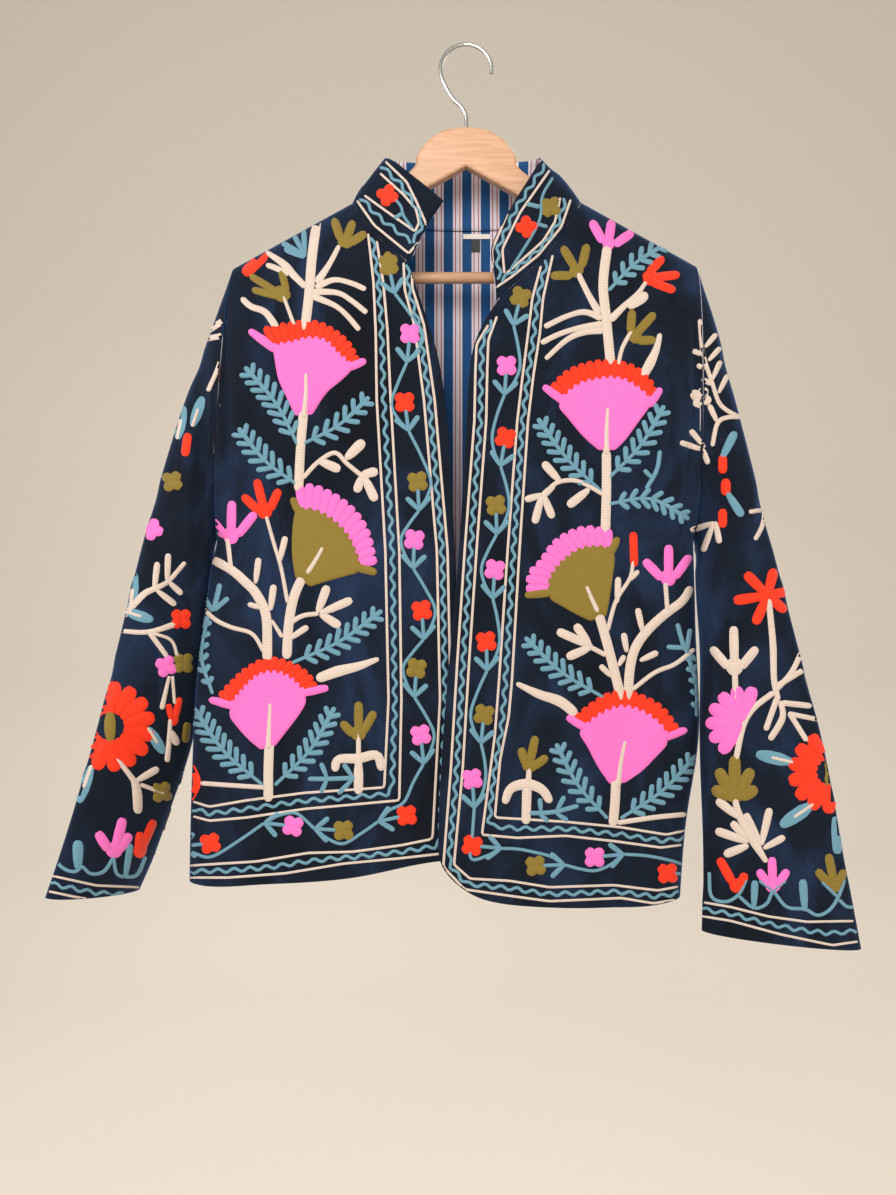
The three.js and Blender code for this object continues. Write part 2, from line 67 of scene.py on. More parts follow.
# Shader helpers
def toLinear(hexColour):
    channels = [int(hexColour[i:i + 2], 16) / 255 for i in (1, 3, 5)]
    return [c / 12.92 if c <= 0.04045 else ((c + 0.055) / 1.055) ** 2.4 for c in channels] + [1]


def addNode(material, kind, settings=None, links=None):
    # settings are attributes, or input values where the name is a socket's; links are sockets to read from
    tree = material.node_tree
    node = tree.nodes.new(kind)
    for name, value in (settings or {}).items():
        if isinstance(name, int) or name in node.inputs:
            node.inputs[name].default_value = value
        else:
            setattr(node, name, value)
    for name, source in (links or {}).items():
        tree.links.new(source, node.inputs[name])
    return node


def newMaterial(name, settings):
    material = bpy.data.materials.new(name)
    material.use_nodes = True
    shader = material.node_tree.nodes["Principled BSDF"]
    for socket, value in settings.items():
        shader.inputs[socket].default_value = value
    return material, shader


def setStops(ramp, stops, interpolation="LINEAR"):
    ramp.color_ramp.interpolation = interpolation
    elements = ramp.color_ramp.elements
    while len(elements) < len(stops):
        elements.new(1)
    for element, (position, colour) in zip(elements, stops):
        element.position = position
        element.color = toLinear(colour)


def finishMaterial(material, shader, colour, height, strength, depthMm):
    # the colour goes to the shader, and the pattern's height with it as relief of that depth
    bump = addNode(material, "ShaderNodeBump", {"Strength": strength, "Distance": depthMm * mm}, {"Height": height})
    for source, socket in ((colour, "Base Color"), (bump.outputs["Normal"], "Normal")):
        material.node_tree.links.new(source, shader.inputs[socket])
    return material


# Cotton velvet: a short cut pile that drinks the light, and shows pale where it is seen edge on. Its colour varies
# in random patches of crushed nap, from near-black to a paler blue that is painted sheen
velvet = {
    "deep": "#060a12", "dark": "#0b1422", "brushedSheen": "#1c2c49",
    "patchMm": 70, "drawn": 0.45, "pileMm": 1.6, "bump": 0.35, "reliefMm": 0.6, "sheen": 0.55,
    "sheenTint": "#5c86c8",
}


def velvetMaterial():
    material, shader = newMaterial("cotton_velvet", {
        "Roughness": 0.92, "Sheen Weight": velvet["sheen"], "Sheen Roughness": 0.38,
        "Sheen Tint": toLinear(velvet["sheenTint"]), "IOR": 1.45, "Specular IOR Level": 0.2,
    })
    place = addNode(material, "ShaderNodeTexCoord").outputs["Object"]
    drawn = addNode(material, "ShaderNodeMapping", {"Scale": (1, 1, velvet["drawn"])}, {"Vector": place})
    patches = addNode(material, "ShaderNodeTexNoise",
                      {"Scale": 1 / (velvet["patchMm"] * mm), "Detail": 5, "Roughness": 0.6, "Distortion": 0.9},
                      {"Vector": drawn.outputs["Vector"]})
    colour = addNode(material, "ShaderNodeValToRGB", links={"Fac": patches.outputs["Fac"]})
    # random patches of crushed nap; the palest colour is painted sheen, a highlight fixed in the colour
    setStops(colour, [(0.3, velvet["deep"]), (0.5, velvet["dark"]), (0.72, velvet["brushedSheen"])])
    pile = addNode(material, "ShaderNodeTexNoise", {"Scale": 1 / (velvet["pileMm"] * mm), "Detail": 2},
                   {"Vector": place})
    return finishMaterial(material, shader, colour.outputs["Color"], pile.outputs["Fac"],
                          velvet["bump"], velvet["reliefMm"])


# Striped cotton lining: blue and pale bands with two fine rose lines in each pale one, and a plain weave drawn
# coarser than the real 0.3 mm
lining = {
    "periodMm": 19, "shiftMm": 3, "blue": "#1d4f86", "pale": "#dcd9e4", "rose": "#b56a78",
    "threadMm": 1.1, "threadShade": 0.86, "bump": 0.2, "reliefMm": 0.2,
    "before": 50,   # whole periods added, so that the count of stripes is never below zero
}


def liningMaterial():
    material, shader = newMaterial("striped_cotton", {"Roughness": 0.85, "IOR": 1.5, "Specular IOR Level": 0.25})
    place = addNode(material, "ShaderNodeTexCoord").outputs["Object"]
    across = addNode(material, "ShaderNodeSeparateXYZ", links={"Vector": place}).outputs["X"]
    turns = addNode(material, "ShaderNodeMath",
                    {"operation": "MULTIPLY_ADD", 1: 1 / (lining["periodMm"] * mm),
                     2: lining["before"] + lining["shiftMm"] / lining["periodMm"]}, {0: across})
    phase = addNode(material, "ShaderNodeMath", {"operation": "FRACT"}, {0: turns.outputs[0]})
    stripes = addNode(material, "ShaderNodeValToRGB", links={"Fac": phase.outputs[0]})
    setStops(stripes, [(0, lining["blue"]), (0.5, lining["pale"]), (0.6, lining["rose"]), (0.66, lining["pale"]),
                       (0.84, lining["rose"]), (0.9, lining["pale"])], "CONSTANT")
    weave = addNode(material, "ShaderNodeTexChecker",
                    {"Scale": 1 / (lining["threadMm"] * mm), "Color1": (1, 1, 1, 1),
                     "Color2": [lining["threadShade"]] * 3 + [1]}, {"Vector": place})
    woven = addNode(material, "ShaderNodeMix", {"data_type": "RGBA", "blend_type": "MULTIPLY", "Factor": 1},
                    {6: stripes.outputs["Color"], 7: weave.outputs["Color"]})
    return finishMaterial(material, shader, woven.outputs[2], weave.outputs["Fac"],
                          lining["bump"], lining["reliefMm"])


# Mercerised cotton thread in chain stitch: rows of short links, a little sheen, drawn coarser than the real 1 mm,
# with painted shade darkening the grooves between rows and links
threads = {
    "cream": "#dfcdc0", "pink": "#ff76ce", "red": "#fb3305", "olive": "#8a7427", "teal": "#6a9bb0",
}
stitch = {"rowMm": 1.5, "linkMm": 2.6, "fibre": 0.8, "bump": 0.45, "reliefMm": 0.7, "shade": 0.7}


def threadMaterial(colourName):
    material, shader = newMaterial("chain_stitch_" + colourName, {
        "Roughness": 0.7, "Sheen Weight": 0.25, "Sheen Roughness": 0.4, "IOR": 1.5, "Specular IOR Level": 0.3,
    })
    place = addNode(material, "ShaderNodeUVMap", {"uv_map": "rows"}).outputs["UV"]
    axes = addNode(material, "ShaderNodeSeparateXYZ", links={"Vector": place})
    row = addNode(material, "ShaderNodeMath", {"operation": "PINGPONG", 1: stitch["rowMm"] / 2},
                  {0: axes.outputs["Y"]})
    bow = addNode(material, "ShaderNodeMath", {"operation": "ADD"}, {0: axes.outputs["X"], 1: row.outputs[0]})
    link = addNode(material, "ShaderNodeMath", {"operation": "PINGPONG", 1: stitch["linkMm"] / 2},
                   {0: bow.outputs[0]})
    lift = addNode(material, "ShaderNodeMath", {"operation": "MULTIPLY"}, {0: row.outputs[0], 1: link.outputs[0]})
    fibre = addNode(material, "ShaderNodeTexNoise", {"Scale": 0.8, "Detail": 4}, {"Vector": place})
    heightAndFibre = addNode(material, "ShaderNodeMath", {"operation": "MULTIPLY_ADD", 1: stitch["fibre"]},
                     {0: fibre.outputs["Fac"], 2: lift.outputs[0]})
    # the colour follows the links' height and random fibre noise: painted shade, darker in the grooves between rows
    # and links, with random fibre tone
    full = toLinear(threads[colourName])
    low = [c * stitch["shade"] for c in full[:3]] + [1]
    tone = addNode(material, "ShaderNodeMapRange", {"From Min": 0.3, "From Max": 1.5}, {"Value": heightAndFibre.outputs[0]})
    colour = addNode(material, "ShaderNodeMix", {"data_type": "RGBA", 6: low, 7: full},
                     {"Factor": tone.outputs["Result"]})
    return finishMaterial(material, shader, colour.outputs[2], heightAndFibre.outputs[0],
                          stitch["bump"], stitch["reliefMm"])


# Lacquered beech: straight pale grain along the arms, under a satin clear coat
beech = {"light": "#c49877", "dark": "#ae805a", "grainMm": 2.4, "drawn": 0.06, "bump": 0.12, "reliefMm": 0.2}


def woodMaterial():
    material, shader = newMaterial("lacquered_beech", {
        "Roughness": 0.42, "IOR": 1.5, "Coat Weight": 0.35, "Coat Roughness": 0.2,
    })
    place = addNode(material, "ShaderNodeTexCoord").outputs["Object"]
    drawn = addNode(material, "ShaderNodeMapping", {"Scale": (beech["drawn"], 1, 1)}, {"Vector": place})
    grain = addNode(material, "ShaderNodeTexNoise",
                    {"Scale": 1 / (beech["grainMm"] * mm), "Detail": 6, "Roughness": 0.65, "Distortion": 0.4},
                    {"Vector": drawn.outputs["Vector"]})
    colour = addNode(material, "ShaderNodeValToRGB", links={"Fac": grain.outputs["Fac"]})
    setStops(colour, [(0.3, beech["dark"]), (0.62, beech["light"])])
    return finishMaterial(material, shader, colour.outputs["Color"], grain.outputs["Fac"],
                          beech["bump"], beech["reliefMm"])


# Bright drawn steel wire: fine draw marks that break up its mirror
steel = {"light": "#c9c9c5", "dark": "#8f8f8d", "marks": 900, "bump": 0.1, "reliefMm": 0.1}


def steelMaterial():
    material, shader = newMaterial("drawn_steel", {"Metallic": 1, "Roughness": 0.28})
    place = addNode(material, "ShaderNodeTexCoord").outputs["Object"]
    marks = addNode(material, "ShaderNodeTexNoise", {"Scale": steel["marks"], "Detail": 3}, {"Vector": place})
    colour = addNode(material, "ShaderNodeValToRGB", links={"Fac": marks.outputs["Fac"]})
    setStops(colour, [(0.3, steel["dark"]), (0.7, steel["light"])])
    return finishMaterial(material, shader, colour.outputs["Color"], marks.outputs["Fac"],
                          steel["bump"], steel["reliefMm"])


# Woven satin label: a white bar, with a dark tab below it
labelCloth = {"bar": "#e4e2de", "tab": "#1b2027", "tabTop": -0.1735, "weave": 1600, "bump": 0.15, "reliefMm": 0.1}


def labelMaterial():
    material, shader = newMaterial("woven_satin", {"Roughness": 0.5, "IOR": 1.5, "Specular IOR Level": 0.35})
    place = addNode(material, "ShaderNodeTexCoord").outputs["Object"]
    height = addNode(material, "ShaderNodeSeparateXYZ", links={"Vector": place}).outputs["Z"]
    above = addNode(material, "ShaderNodeMath", {"operation": "GREATER_THAN", 1: labelCloth["tabTop"]}, {0: height})
    colour = addNode(material, "ShaderNodeValToRGB", links={"Fac": above.outputs[0]})
    setStops(colour, [(0, labelCloth["tab"]), (0.5, labelCloth["bar"])], "CONSTANT")
    weave = addNode(material, "ShaderNodeTexChecker", {"Scale": labelCloth["weave"]}, {"Vector": place})
    return finishMaterial(material, shader, colour.outputs["Color"], weave.outputs["Fac"],
                          labelCloth["bump"], labelCloth["reliefMm"])


velvetCloth = velvetMaterial()
liningCloth = liningMaterial()
threadNames = list(threads)
threadMaterials = [threadMaterial(name) for name in threadNames]
print("materials made")


# Cloth shells on the solids' form. A turned rim's edges are sharper than rimDegrees and stay crisp, a patch ends at
# patchDegrees, and a patch with less than rimShare of the area is the rim itself
shell = {"mergeMm": 0.02, "rimDegrees": 55, "patchDegrees": 50, "rimShare": 0.15}


def fineShell(node, levels):
    # the solid's own form as quads, rounded by subdivision, with "side" 1 on the right side and 0 on the wrong side
    bm = bmesh.new()
    bm.from_mesh(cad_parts[node].data)
    bmesh.ops.remove_doubles(bm, verts=bm.verts, dist=shell["mergeMm"] * mm)
    bmesh.ops.join_triangles(bm, faces=bm.faces, angle_face_threshold=0.7, angle_shape_threshold=1.0)
    bm.normal_update()
    rimAngle = math.radians(shell["rimDegrees"])
    crease = bm.edges.layers.float.new("crease_edge")
    for edge in bm.edges:
        if edge.calc_face_angle(0) > rimAngle:
            edge[crease] = 1
    lo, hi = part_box(node)
    middle = Vector((0, 0, (lo.z + hi.z) / 2)) if "sleeve" not in node else (lo + hi) / 2
    side = bm.faces.layers.int.new("side")
    for patch in flatPatches(bm, math.radians(shell["patchDegrees"])):
        flux = sum(f.calc_area() * f.normal.dot(f.calc_center_median() - middle) for f in patch)
        isRim = sum(f.calc_area() for f in patch) < shell["rimShare"] * sum(f.calc_area() for f in bm.faces)
        for f in patch:
            f[side] = 1 if flux > 0 or isRim else 0
    mesh = bpy.data.meshes.new(node + "_shell")
    bm.to_mesh(mesh)
    bm.free()
    piece = bpy.data.objects.new(node + "_cloth", mesh)
    bpy.context.collection.objects.link(piece)
    piece.modifiers.new("rounding", "SUBSURF").levels = levels
    evaluated = piece.evaluated_get(bpy.context.evaluated_depsgraph_get())
    piece.data = bpy.data.meshes.new_from_object(evaluated)
    piece.modifiers.clear()
    return piece


def flatPatches(bm, limit):
    # groups of faces joined across edges that are flatter than the limit
    left = set(bm.faces)
    while left:
        patch, edgeOfPatch = [], [left.pop()]
        while edgeOfPatch:
            face = edgeOfPatch.pop()
            patch.append(face)
            for edge in face.edges:
                if edge.calc_face_angle(math.pi) > limit:
                    continue
                for other in edge.link_faces:
                    if other in left:
                        left.remove(other)
                        edgeOfPatch.append(other)
        yield patch


def creasedShell(piece, creases):
    # moves the wall along the right side's normals by the depth of the creases there
    mesh = piece.data
    count = len(mesh.vertices)
    place = np.empty(count * 3)
    normal = np.empty(count * 3)
    mesh.vertices.foreach_get("co", place)
    mesh.vertices.foreach_get("normal", normal)
    place, normal = place.reshape(-1, 3), normal.reshape(-1, 3)
    side = mesh.attributes["side"].data
    outer = sorted({v for p in mesh.polygons if side[p.index].value == 1 for v in p.vertices})
    tree = KDTree(len(outer))
    for v in outer:
        tree.insert(place[v], v)
    tree.balance()
    nearest = np.arange(count)
    isOuter = np.zeros(count, bool)
    isOuter[outer] = True
    for v in np.nonzero(~isOuter)[0]:
        nearest[v] = tree.find(place[v])[1]
    depth = creaseDepth(place[nearest], normal[nearest], creases)
    mesh.vertices.foreach_set("co", (place + normal[nearest] * depth[:, None]).ravel())
    mesh.update()


creaseEnds = 0.7   # below 1, a crease keeps its depth closer to its two ends
creaseFacing = {"gain": 2.5, "from": 0.3}   # how fast a crease fades where the cloth turns away from its face


def creaseDepth(place, normal, creases):
    # each crease runs from (x0, z0) to (x1, z1) with a bend to one side, on the front (1) or the back (-1)
    x, z = place[:, 0] / mm, place[:, 2] / mm
    total = np.zeros(len(x))
    for c in creases:
        run = np.array([c["x1"] - c["x0"], c["z1"] - c["z0"]], float)
        length = np.hypot(*run)
        along = ((x - c["x0"]) * run[0] + (z - c["z0"]) * run[1]) / length ** 2
        across = ((x - c["x0"]) * -run[1] + (z - c["z0"]) * run[0]) / length
        inside = np.clip(along, 0, 1)
        across = across - c["bend"] * np.sin(math.pi * inside)
        across = np.where(across > 0, across / c["soft"], across)
        profile = np.exp(-(across / c["width"]) ** 2) * np.sin(math.pi * inside) ** creaseEnds
        facing = np.clip(-normal[:, 1] * c["face"] * creaseFacing["gain"] + creaseFacing["from"], 0, 1)
        total += c["depth"] * mm * profile * facing * ((along > 0) & (along < 1))
    return total


def table(columns, rows):
    return [dict(zip(columns, row)) for row in rows]


def dress(piece, node):
    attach(piece, "root")
    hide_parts(node)
    for polygon in piece.data.polygons:
        polygon.use_smooth = True


creaseColumns = ["x0", "z0", "x1", "z1", "bend", "width", "soft", "depth", "face"]
clothPieces = {
    "front_right": {"levels": 3, "creases": table(creaseColumns, [
        (-232, -240, -214, -470, -8, 5, 2.2, -4, 1), (-216, -300, -232, -560, 6, 7, 1.6, 2.5, 1),
        (-128, -290, -170, -470, 10, 8, 2, -1.8, 1), (-60, -300, -110, -520, -12, 9, 1.8, -1.5, 1),
        (-190, -560, -246, -700, 8, 8, 1.6, -2.2, 1), (-70, -560, -130, -790, 10, 12, 1.5, 1.6, 1),
        (-215, -640, -205, -800, 6, 9, 1.7, 2, 1), (-30, -500, -52, -760, -6, 8, 1.6, -1.6, 1),
        (-150, -180, -220, -250, 6, 7, 1.6, -2, 1)])},
    "front_left": {"levels": 3, "creases": table(creaseColumns, [
        (214, -240, 200, -480, 8, 5, 2.2, -4, 1), (186, -300, 214, -560, -6, 7, 1.6, 2.5, 1),
        (90, -300, 150, -500, -10, 8, 2, -1.8, 1), (190, -540, 205, -720, -8, 8, 1.6, -2.2, 1),
        (60, -560, 110, -810, -10, 12, 1.5, 1.6, 1), (20, -520, 50, -800, 6, 8, 1.6, -1.6, 1),
        (150, -180, 214, -250, -6, 7, 1.6, -2, 1)])},
    "back": {"levels": 2, "creases": table(creaseColumns, [
        (-226, -250, -196, -520, -8, 6, 2, -4, -1), (216, -250, 186, -520, 8, 6, 2, -4, -1),
        (-60, -260, -120, -560, 10, 12, 1.6, -2.5, -1), (70, -280, 110, -600, -12, 12, 1.5, -2.2, -1),
        (-150, -560, -120, -800, 8, 11, 1.6, 2.4, -1), (30, -520, -10, -790, -8, 13, 1.6, 2.2, -1),
        (160, -540, 178, -800, 8, 10, 1.6, -2.4, -1)])},
    "sleeve_right": {"levels": 3, "creases": table(creaseColumns, [
        (-262, -300, -250, -470, 6, 7, 1.6, -4, 1), (-300, -430, -262, -560, -8, 7, 1.8, -3, 1),
        (-322, -520, -276, -620, 8, 8, 1.6, 3, 1), (-340, -600, -290, -700, -6, 7, 1.6, -3, 1),
        (-362, -700, -310, -760, 6, 7, 1.5, 2.4, 1), (-262, -300, -256, -500, -6, 8, 1.6, -4, -1),
        (-310, -480, -270, -600, 8, 8, 1.8, -3, -1), (-345, -620, -300, -740, -8, 8, 1.5, 2.6, -1)])},
    "sleeve_left": {"levels": 3, "creases": table(creaseColumns, [
        (248, -300, 234, -470, -6, 7, 1.6, -4, 1), (284, -430, 240, -560, 8, 7, 1.8, -3, 1),
        (300, -520, 244, -620, -8, 8, 1.6, 3, 1), (330, -600, 250, -720, 6, 8, 1.6, -3, 1),
        (345, -720, 262, -790, -6, 8, 1.5, 2.4, 1), (250, -300, 238, -500, 6, 8, 1.6, -4, -1),
        (296, -480, 244, -620, -8, 8, 1.8, -3, -1), (330, -640, 250, -760, 8, 8, 1.5, 2.6, -1)])},
    "collar": {"levels": 2, "creases": []},
}

# Where a sleeve hangs against the side of the jacket both give way a little, below the underarm
giveColumns = ["x", "z", "moveX", "moveY", "reachX", "reachZ"]
giveWay = {
    "sleeve_left": table(giveColumns, [(229, -660, -9, -9, 32, 110), (228, -535, -6, -8, 28, 45)]),
    "sleeve_right": table(giveColumns, [(-266, -610, 1.5, 4, 30, 90), (-250, -510, 0, 6, 26, 45)]),
    "front_left": table(giveColumns, [(222, -665, 6.5, 0, 26, 75)]),
    "front_right": table(giveColumns, [(-262, -600, -3.5, 0, 24, 90), (-246, -505, -2, 0, 22, 35)]),
    "back": table(giveColumns, [(222, -665, 6.5, 0, 26, 75), (-262, -600, -3.5, 0, 24, 90),
                                (-246, -505, -2, 0, 22, 35)]),
}
underarm = {"from": -484, "to": -515}


def settle(piece, moves):
    mesh = piece.data
    place = np.empty(len(mesh.vertices) * 3)
    mesh.vertices.foreach_get("co", place)
    place = place.reshape(-1, 3)
    x, z = place[:, 0] / mm, place[:, 2] / mm
    below = np.clip((underarm["from"] - z) / (underarm["from"] - underarm["to"]), 0, 1)
    for m in moves:
        share = below * np.exp(-((x - m["x"]) / m["reachX"]) ** 2 - ((z - m["z"]) / m["reachZ"]) ** 2)
        place += share[:, None] * np.array((m["moveX"], m["moveY"], 0)) * mm
    mesh.vertices.foreach_set("co", place.ravel())
    mesh.update()


shells = {}
for node, cut in clothPieces.items():
    piece = fineShell(node, cut["levels"])
    settle(piece, giveWay.get(node, []))
    creasedShell(piece, cut["creases"])
    for material in (liningCloth, velvetCloth):
        piece.data.materials.append(material)
    side = piece.data.attributes["side"].data
    for polygon in piece.data.polygons:
        polygon.material_index = side[polygon.index].value
    dress(piece, node)
    shells[node] = piece
    print(node, "cloth,", len(piece.data.polygons) * 2, "triangles")
liningLevels = 2
for node in ("back_lining", "collar_lining"):
    piece = fineShell(node, liningLevels)
    piece.data.materials.append(liningCloth)
    dress(piece, node)
    shells[node] = piece
    print(node, "cloth,", len(piece.data.polygons) * 2, "triangles")


# Embroidery: every motif is built from strokes and patches of thread, given in millimetres of x and z as the camera
# sees them, and laid on the cloth along the camera's rays, or straight along Y from behind
thread = {"sink": 0.25, "step": 3.2, "edgeOn": 0.04, "plane": -43, "farOff": 400, "widest": 3.2}
waveLine = {"period": 15, "swing": 2.0, "width": 3.3, "edge": 2.9}
fernLeaf = {"angle": 47, "width": 5.2, "gap": 10, "spine": 3.6}
vineSizes = {
    "stalk": 27, "swing": 12.5, "bloom": 10.5, "stem": 3.3, "leafLength": 17, "leafWidth": 5.2, "leafAngle": 42,
}
fanSizes = {
    "columns": 20, "rows": 18, "petalRoot": 1.25, "petalTip": 1.08, "tuck": 0.35,
    "scallops": 0.95, "scallopIn": 14, "scallopOut": 2.5, "horn": (6.5, 9, 9),
}
# A round end's rows: the distance in radii, and the share of the width
roundEnd = [(0, 0.4), (0.2, 0.68), (0.55, 0.9), (1, 1)]


def newStitches():
    bm = bmesh.new()
    bm.verts.layers.float.new("along")
    bm.verts.layers.float.new("across")
    return bm


def newGround(node, face, stitches, plane=thread["plane"], shift=(0, 0)):
    # the right side of a piece of cloth, met from the front (1) or from behind (-1)
    mesh = shells[node].data
    side = mesh.attributes["side"].data
    outer = [p.vertices[:] for p in mesh.polygons if side[p.index].value == 1]
    tree = BVHTree.FromPolygons([v.co for v in mesh.vertices], outer)
    return {"tree": tree, "face": face, "stitches": stitches, "plane": plane, "shift": shift}


def meetCloth(ground, x, z):
    x, z = x + ground["shift"][0], z + ground["shift"][1]
    if ground["face"] > 0:
        start = camera.location
        way = Vector((x, ground["plane"], z)) * mm - start
    else:
        start = Vector((x, thread["farOff"], z)) * mm
        way = Vector((0, -1, 0))
    hit, normal = ground["tree"].ray_cast(start, way)[:2]
    if hit is None or -normal.y * ground["face"] < thread["edgeOn"]:
        return None, None
    return hit, normal


def layGrid(ground, columns, rows, place, colour, height, lift):
    # place gives x, z, how far the thread stands up (0 to 1), and the distances along and across its rows
    bm = ground["stitches"]
    along, across = (bm.verts.layers.float[name] for name in ("along", "across"))
    grid = bmesh.ops.create_grid(bm, x_segments=columns, y_segments=rows, size=0.5)["verts"]
    faces = list({f for vert in grid for f in vert.link_faces})
    lost = []
    for vert in grid:
        x, z, rise, vert[along], vert[across] = place(vert.co.x + 0.5, vert.co.y + 0.5)
        hit, normal = meetCloth(ground, x, z)
        if hit is None:
            lost.append(vert)
        else:
            vert.co = hit + normal * ((rise * (lift + height) - thread["sink"]) * mm)
    for f in faces:
        f.material_index = threadNames.index(colour)
        f.smooth = True
    if ground["face"] < 0:
        bmesh.ops.reverse_faces(bm, faces=faces)
    if lost:
        bmesh.ops.delete(bm, geom=lost, context="VERTS")


def smoothPath(points, step):
    # close places on a smooth curve through the points
    points = [np.array(p, float) for p in points]
    ends = [2 * points[0] - points[1]] + points + [2 * points[-1] - points[-2]]
    path = []
    for a, b, c, d in zip(ends, ends[1:], ends[2:], ends[3:]):
        steps = max(1, math.ceil(np.linalg.norm(c - b) / step))
        for t in np.arange(steps) / steps:
            path.append(0.5 * (2 * b + (c - a) * t + (2 * a - 5 * b + 4 * c - d) * t ** 2
                               + (3 * b - a - 3 * c + d) * t ** 3))
    return np.array(path + [points[-1]])


def distances(path):
    return np.concatenate([[0], np.cumsum(np.linalg.norm(np.diff(path, axis=0), axis=1))])


def reading(path):
    # the place at a share of the path's length
    lengths = distances(path)
    return lambda t: np.array([np.interp(t * lengths[-1], lengths, path[:, i]) for i in (0, 1)])


def turned(way, degrees):
    c, s = math.cos(math.radians(degrees)), math.sin(math.radians(degrees))
    return np.array([way[0] * c - way[1] * s, way[0] * s + way[1] * c])


def unit(way):
    return way / np.linalg.norm(way)


def stroke(ground, points, width, colour, height=1.3, lift=0.0):
    # a domed line of stitches with round ends; its width is one number, or several shared out along it
    path = points if isinstance(points, np.ndarray) else smoothPath(points, thread["step"])
    widths = np.atleast_1d(np.array(width, float))
    lengths = distances(path)
    total = lengths[-1]
    first, last = min(widths[0] / 2, total * 0.45), min(widths[-1] / 2, total * 0.45)
    body = max(1, math.ceil((total - first - last) / thread["step"]))
    stops = [(first * s, w) for s, w in roundEnd[:-1]]
    stops += [(first + (total - first - last) * k / body, 1) for k in range(body + 1)]
    stops += [(total - last * s, w) for s, w in reversed(roundEnd[:-1])]
    s, cap = np.array(stops).T
    centre = np.column_stack([np.interp(s, lengths, path[:, i]) for i in (0, 1)])
    aside = np.gradient(centre, axis=0)
    aside = np.column_stack([-aside[:, 1], aside[:, 0]]) / np.linalg.norm(aside, axis=1)[:, None]
    half = cap * np.interp(s / total, np.linspace(0, 1, len(widths)), widths) / 2
    count = len(stops) - 1

    def place(u, v):
        i = round(u * count)
        a = math.sin((v - 0.5) * math.pi)
        x, z = centre[i] + aside[i] * (a * half[i])
        return x, z, math.sqrt(1 - a * a) * math.sqrt(cap[i]), s[i], a * half[i]

    layGrid(ground, count, 4 if widths.max() > thread["widest"] else 2, place, colour, height, lift)


# Motifs
def leaf(ground, colour, width, root, tip):
    stroke(ground, [root, tip], (width * 0.55, width * 0.9, width, width * 0.95), colour, 1.4, 0.1)


def border(ground, lineA, lineB):
    # two cream lines, each through its own corners, with a teal wave between them
    count = 1 + int(distances(np.array(lineA, float))[-1] / thread["step"])
    shares = np.linspace(0, 1, count)
    ends = []
    for line in (lineA, lineB):
        path = np.array(line, float)
        place = reading(path)
        ends.append(np.array([place(t) for t in shares]))
        stroke(ground, ends[-1], waveLine["edge"], "cream", 1.1)
    middle = (ends[0] + ends[1]) / 2
    lengths = distances(middle)
    swings = int(lengths[-1] / waveLine["period"] * 2)
    place = reading(middle)
    crests = []
    for k in range(swings + 1):
        t = k / swings
        way = unit(place(min(t + 0.01, 1)) - place(max(t - 0.01, 0)))
        crests.append(place(t) + turned(way, 90) * waveLine["swing"] * (1 if k % 2 else -1))
    stroke(ground, crests, waveLine["width"], "teal", 1.0)


def fern(ground, base, tip, bow=4, reach=16):
    # a bowed spine that ends in a leaf, with pairs of finger leaves, shorter towards both ends
    base, tip = np.array(base, float), np.array(tip, float)
    middle = (base + tip) / 2 + turned(unit(tip - base), 90) * bow
    spine = smoothPath([base, middle, tip], 2)
    total = distances(spine)[-1]
    place = reading(spine)
    stroke(ground, spine, (fernLeaf["spine"], fernLeaf["spine"], fernLeaf["width"]), "teal", 1.2)
    pairs = max(2, int((total - 8) / fernLeaf["gap"]))
    for k in range(pairs):
        t = (0.14 + 0.74 * k / (pairs - 1)) if pairs > 2 else (0.3, 0.66)[k]
        root = place(t)
        heading = unit(place(t + 0.05) - root)
        size = reach * (0.72 + 0.28 * math.sin(math.pi * min(1, t * 1.1)))
        for hand in (-1, 1):
            out = turned(heading, hand * fernLeaf["angle"])
            end = root + out * size
            stroke(ground, [root, end], (fernLeaf["width"] * 0.75, fernLeaf["width"], fernLeaf["width"]), "teal",
                   1.3, 0.1)


def bud(ground, colour, base, tips, width=9, cup=15.5):
    # petals from a round cup
    base = np.array(base, float)
    tips = [np.array(tip, float) for tip in tips]
    stroke(ground, [base, base + (sum(tips) / len(tips) - base) * 0.5], cup, colour, 1.5)
    for tip in tips:
        stroke(ground, [base + (tip - base) * 0.25, tip], (width * 0.9, width, width * 0.9), colour, 1.6, 0.1)


def bloom(ground, colour, x, z, turn=0):
    # a small flower of four round lobes
    centre, radius = np.array((x, z), float), vineSizes["bloom"]
    for k in range(4):
        out = turned((1, 0), 45 + 90 * k + turn)
        stroke(ground, [centre, centre + out * radius], radius * 1.02, colour, 1.7)


def daisy(ground, colour, x, z, radius, petals, start=0, end=360, heart="olive"):
    centre = np.array((x, z), float)
    wide = math.radians(end - start) * radius * 0.8 / petals
    for k in range(petals):
        out = turned((1, 0), start + (end - start) * (k + 0.5) / petals)
        root = centre + out * radius * (0.3 if heart else 0.04)
        stroke(ground, [root, centre + out * radius], (wide * 0.6, wide, wide * 1.1), colour, 1.7)
    if heart:
        aside = np.array((radius * 0.12, 0))
        stroke(ground, [centre - aside, centre + aside], radius * 0.8, heart, 1.6, 0.7)


def twoTone(ground, root, tip, width=11):
    root, tip = np.array(root, float), np.array(tip, float)
    stroke(ground, [root, (root + tip) / 2, tip], (width * 0.5, width, width, width * 0.6), "teal", 1.3)
    stroke(ground, [root, root + (tip - root) * 0.6], (3.6, 4), "cream", 1.2, 0.7)


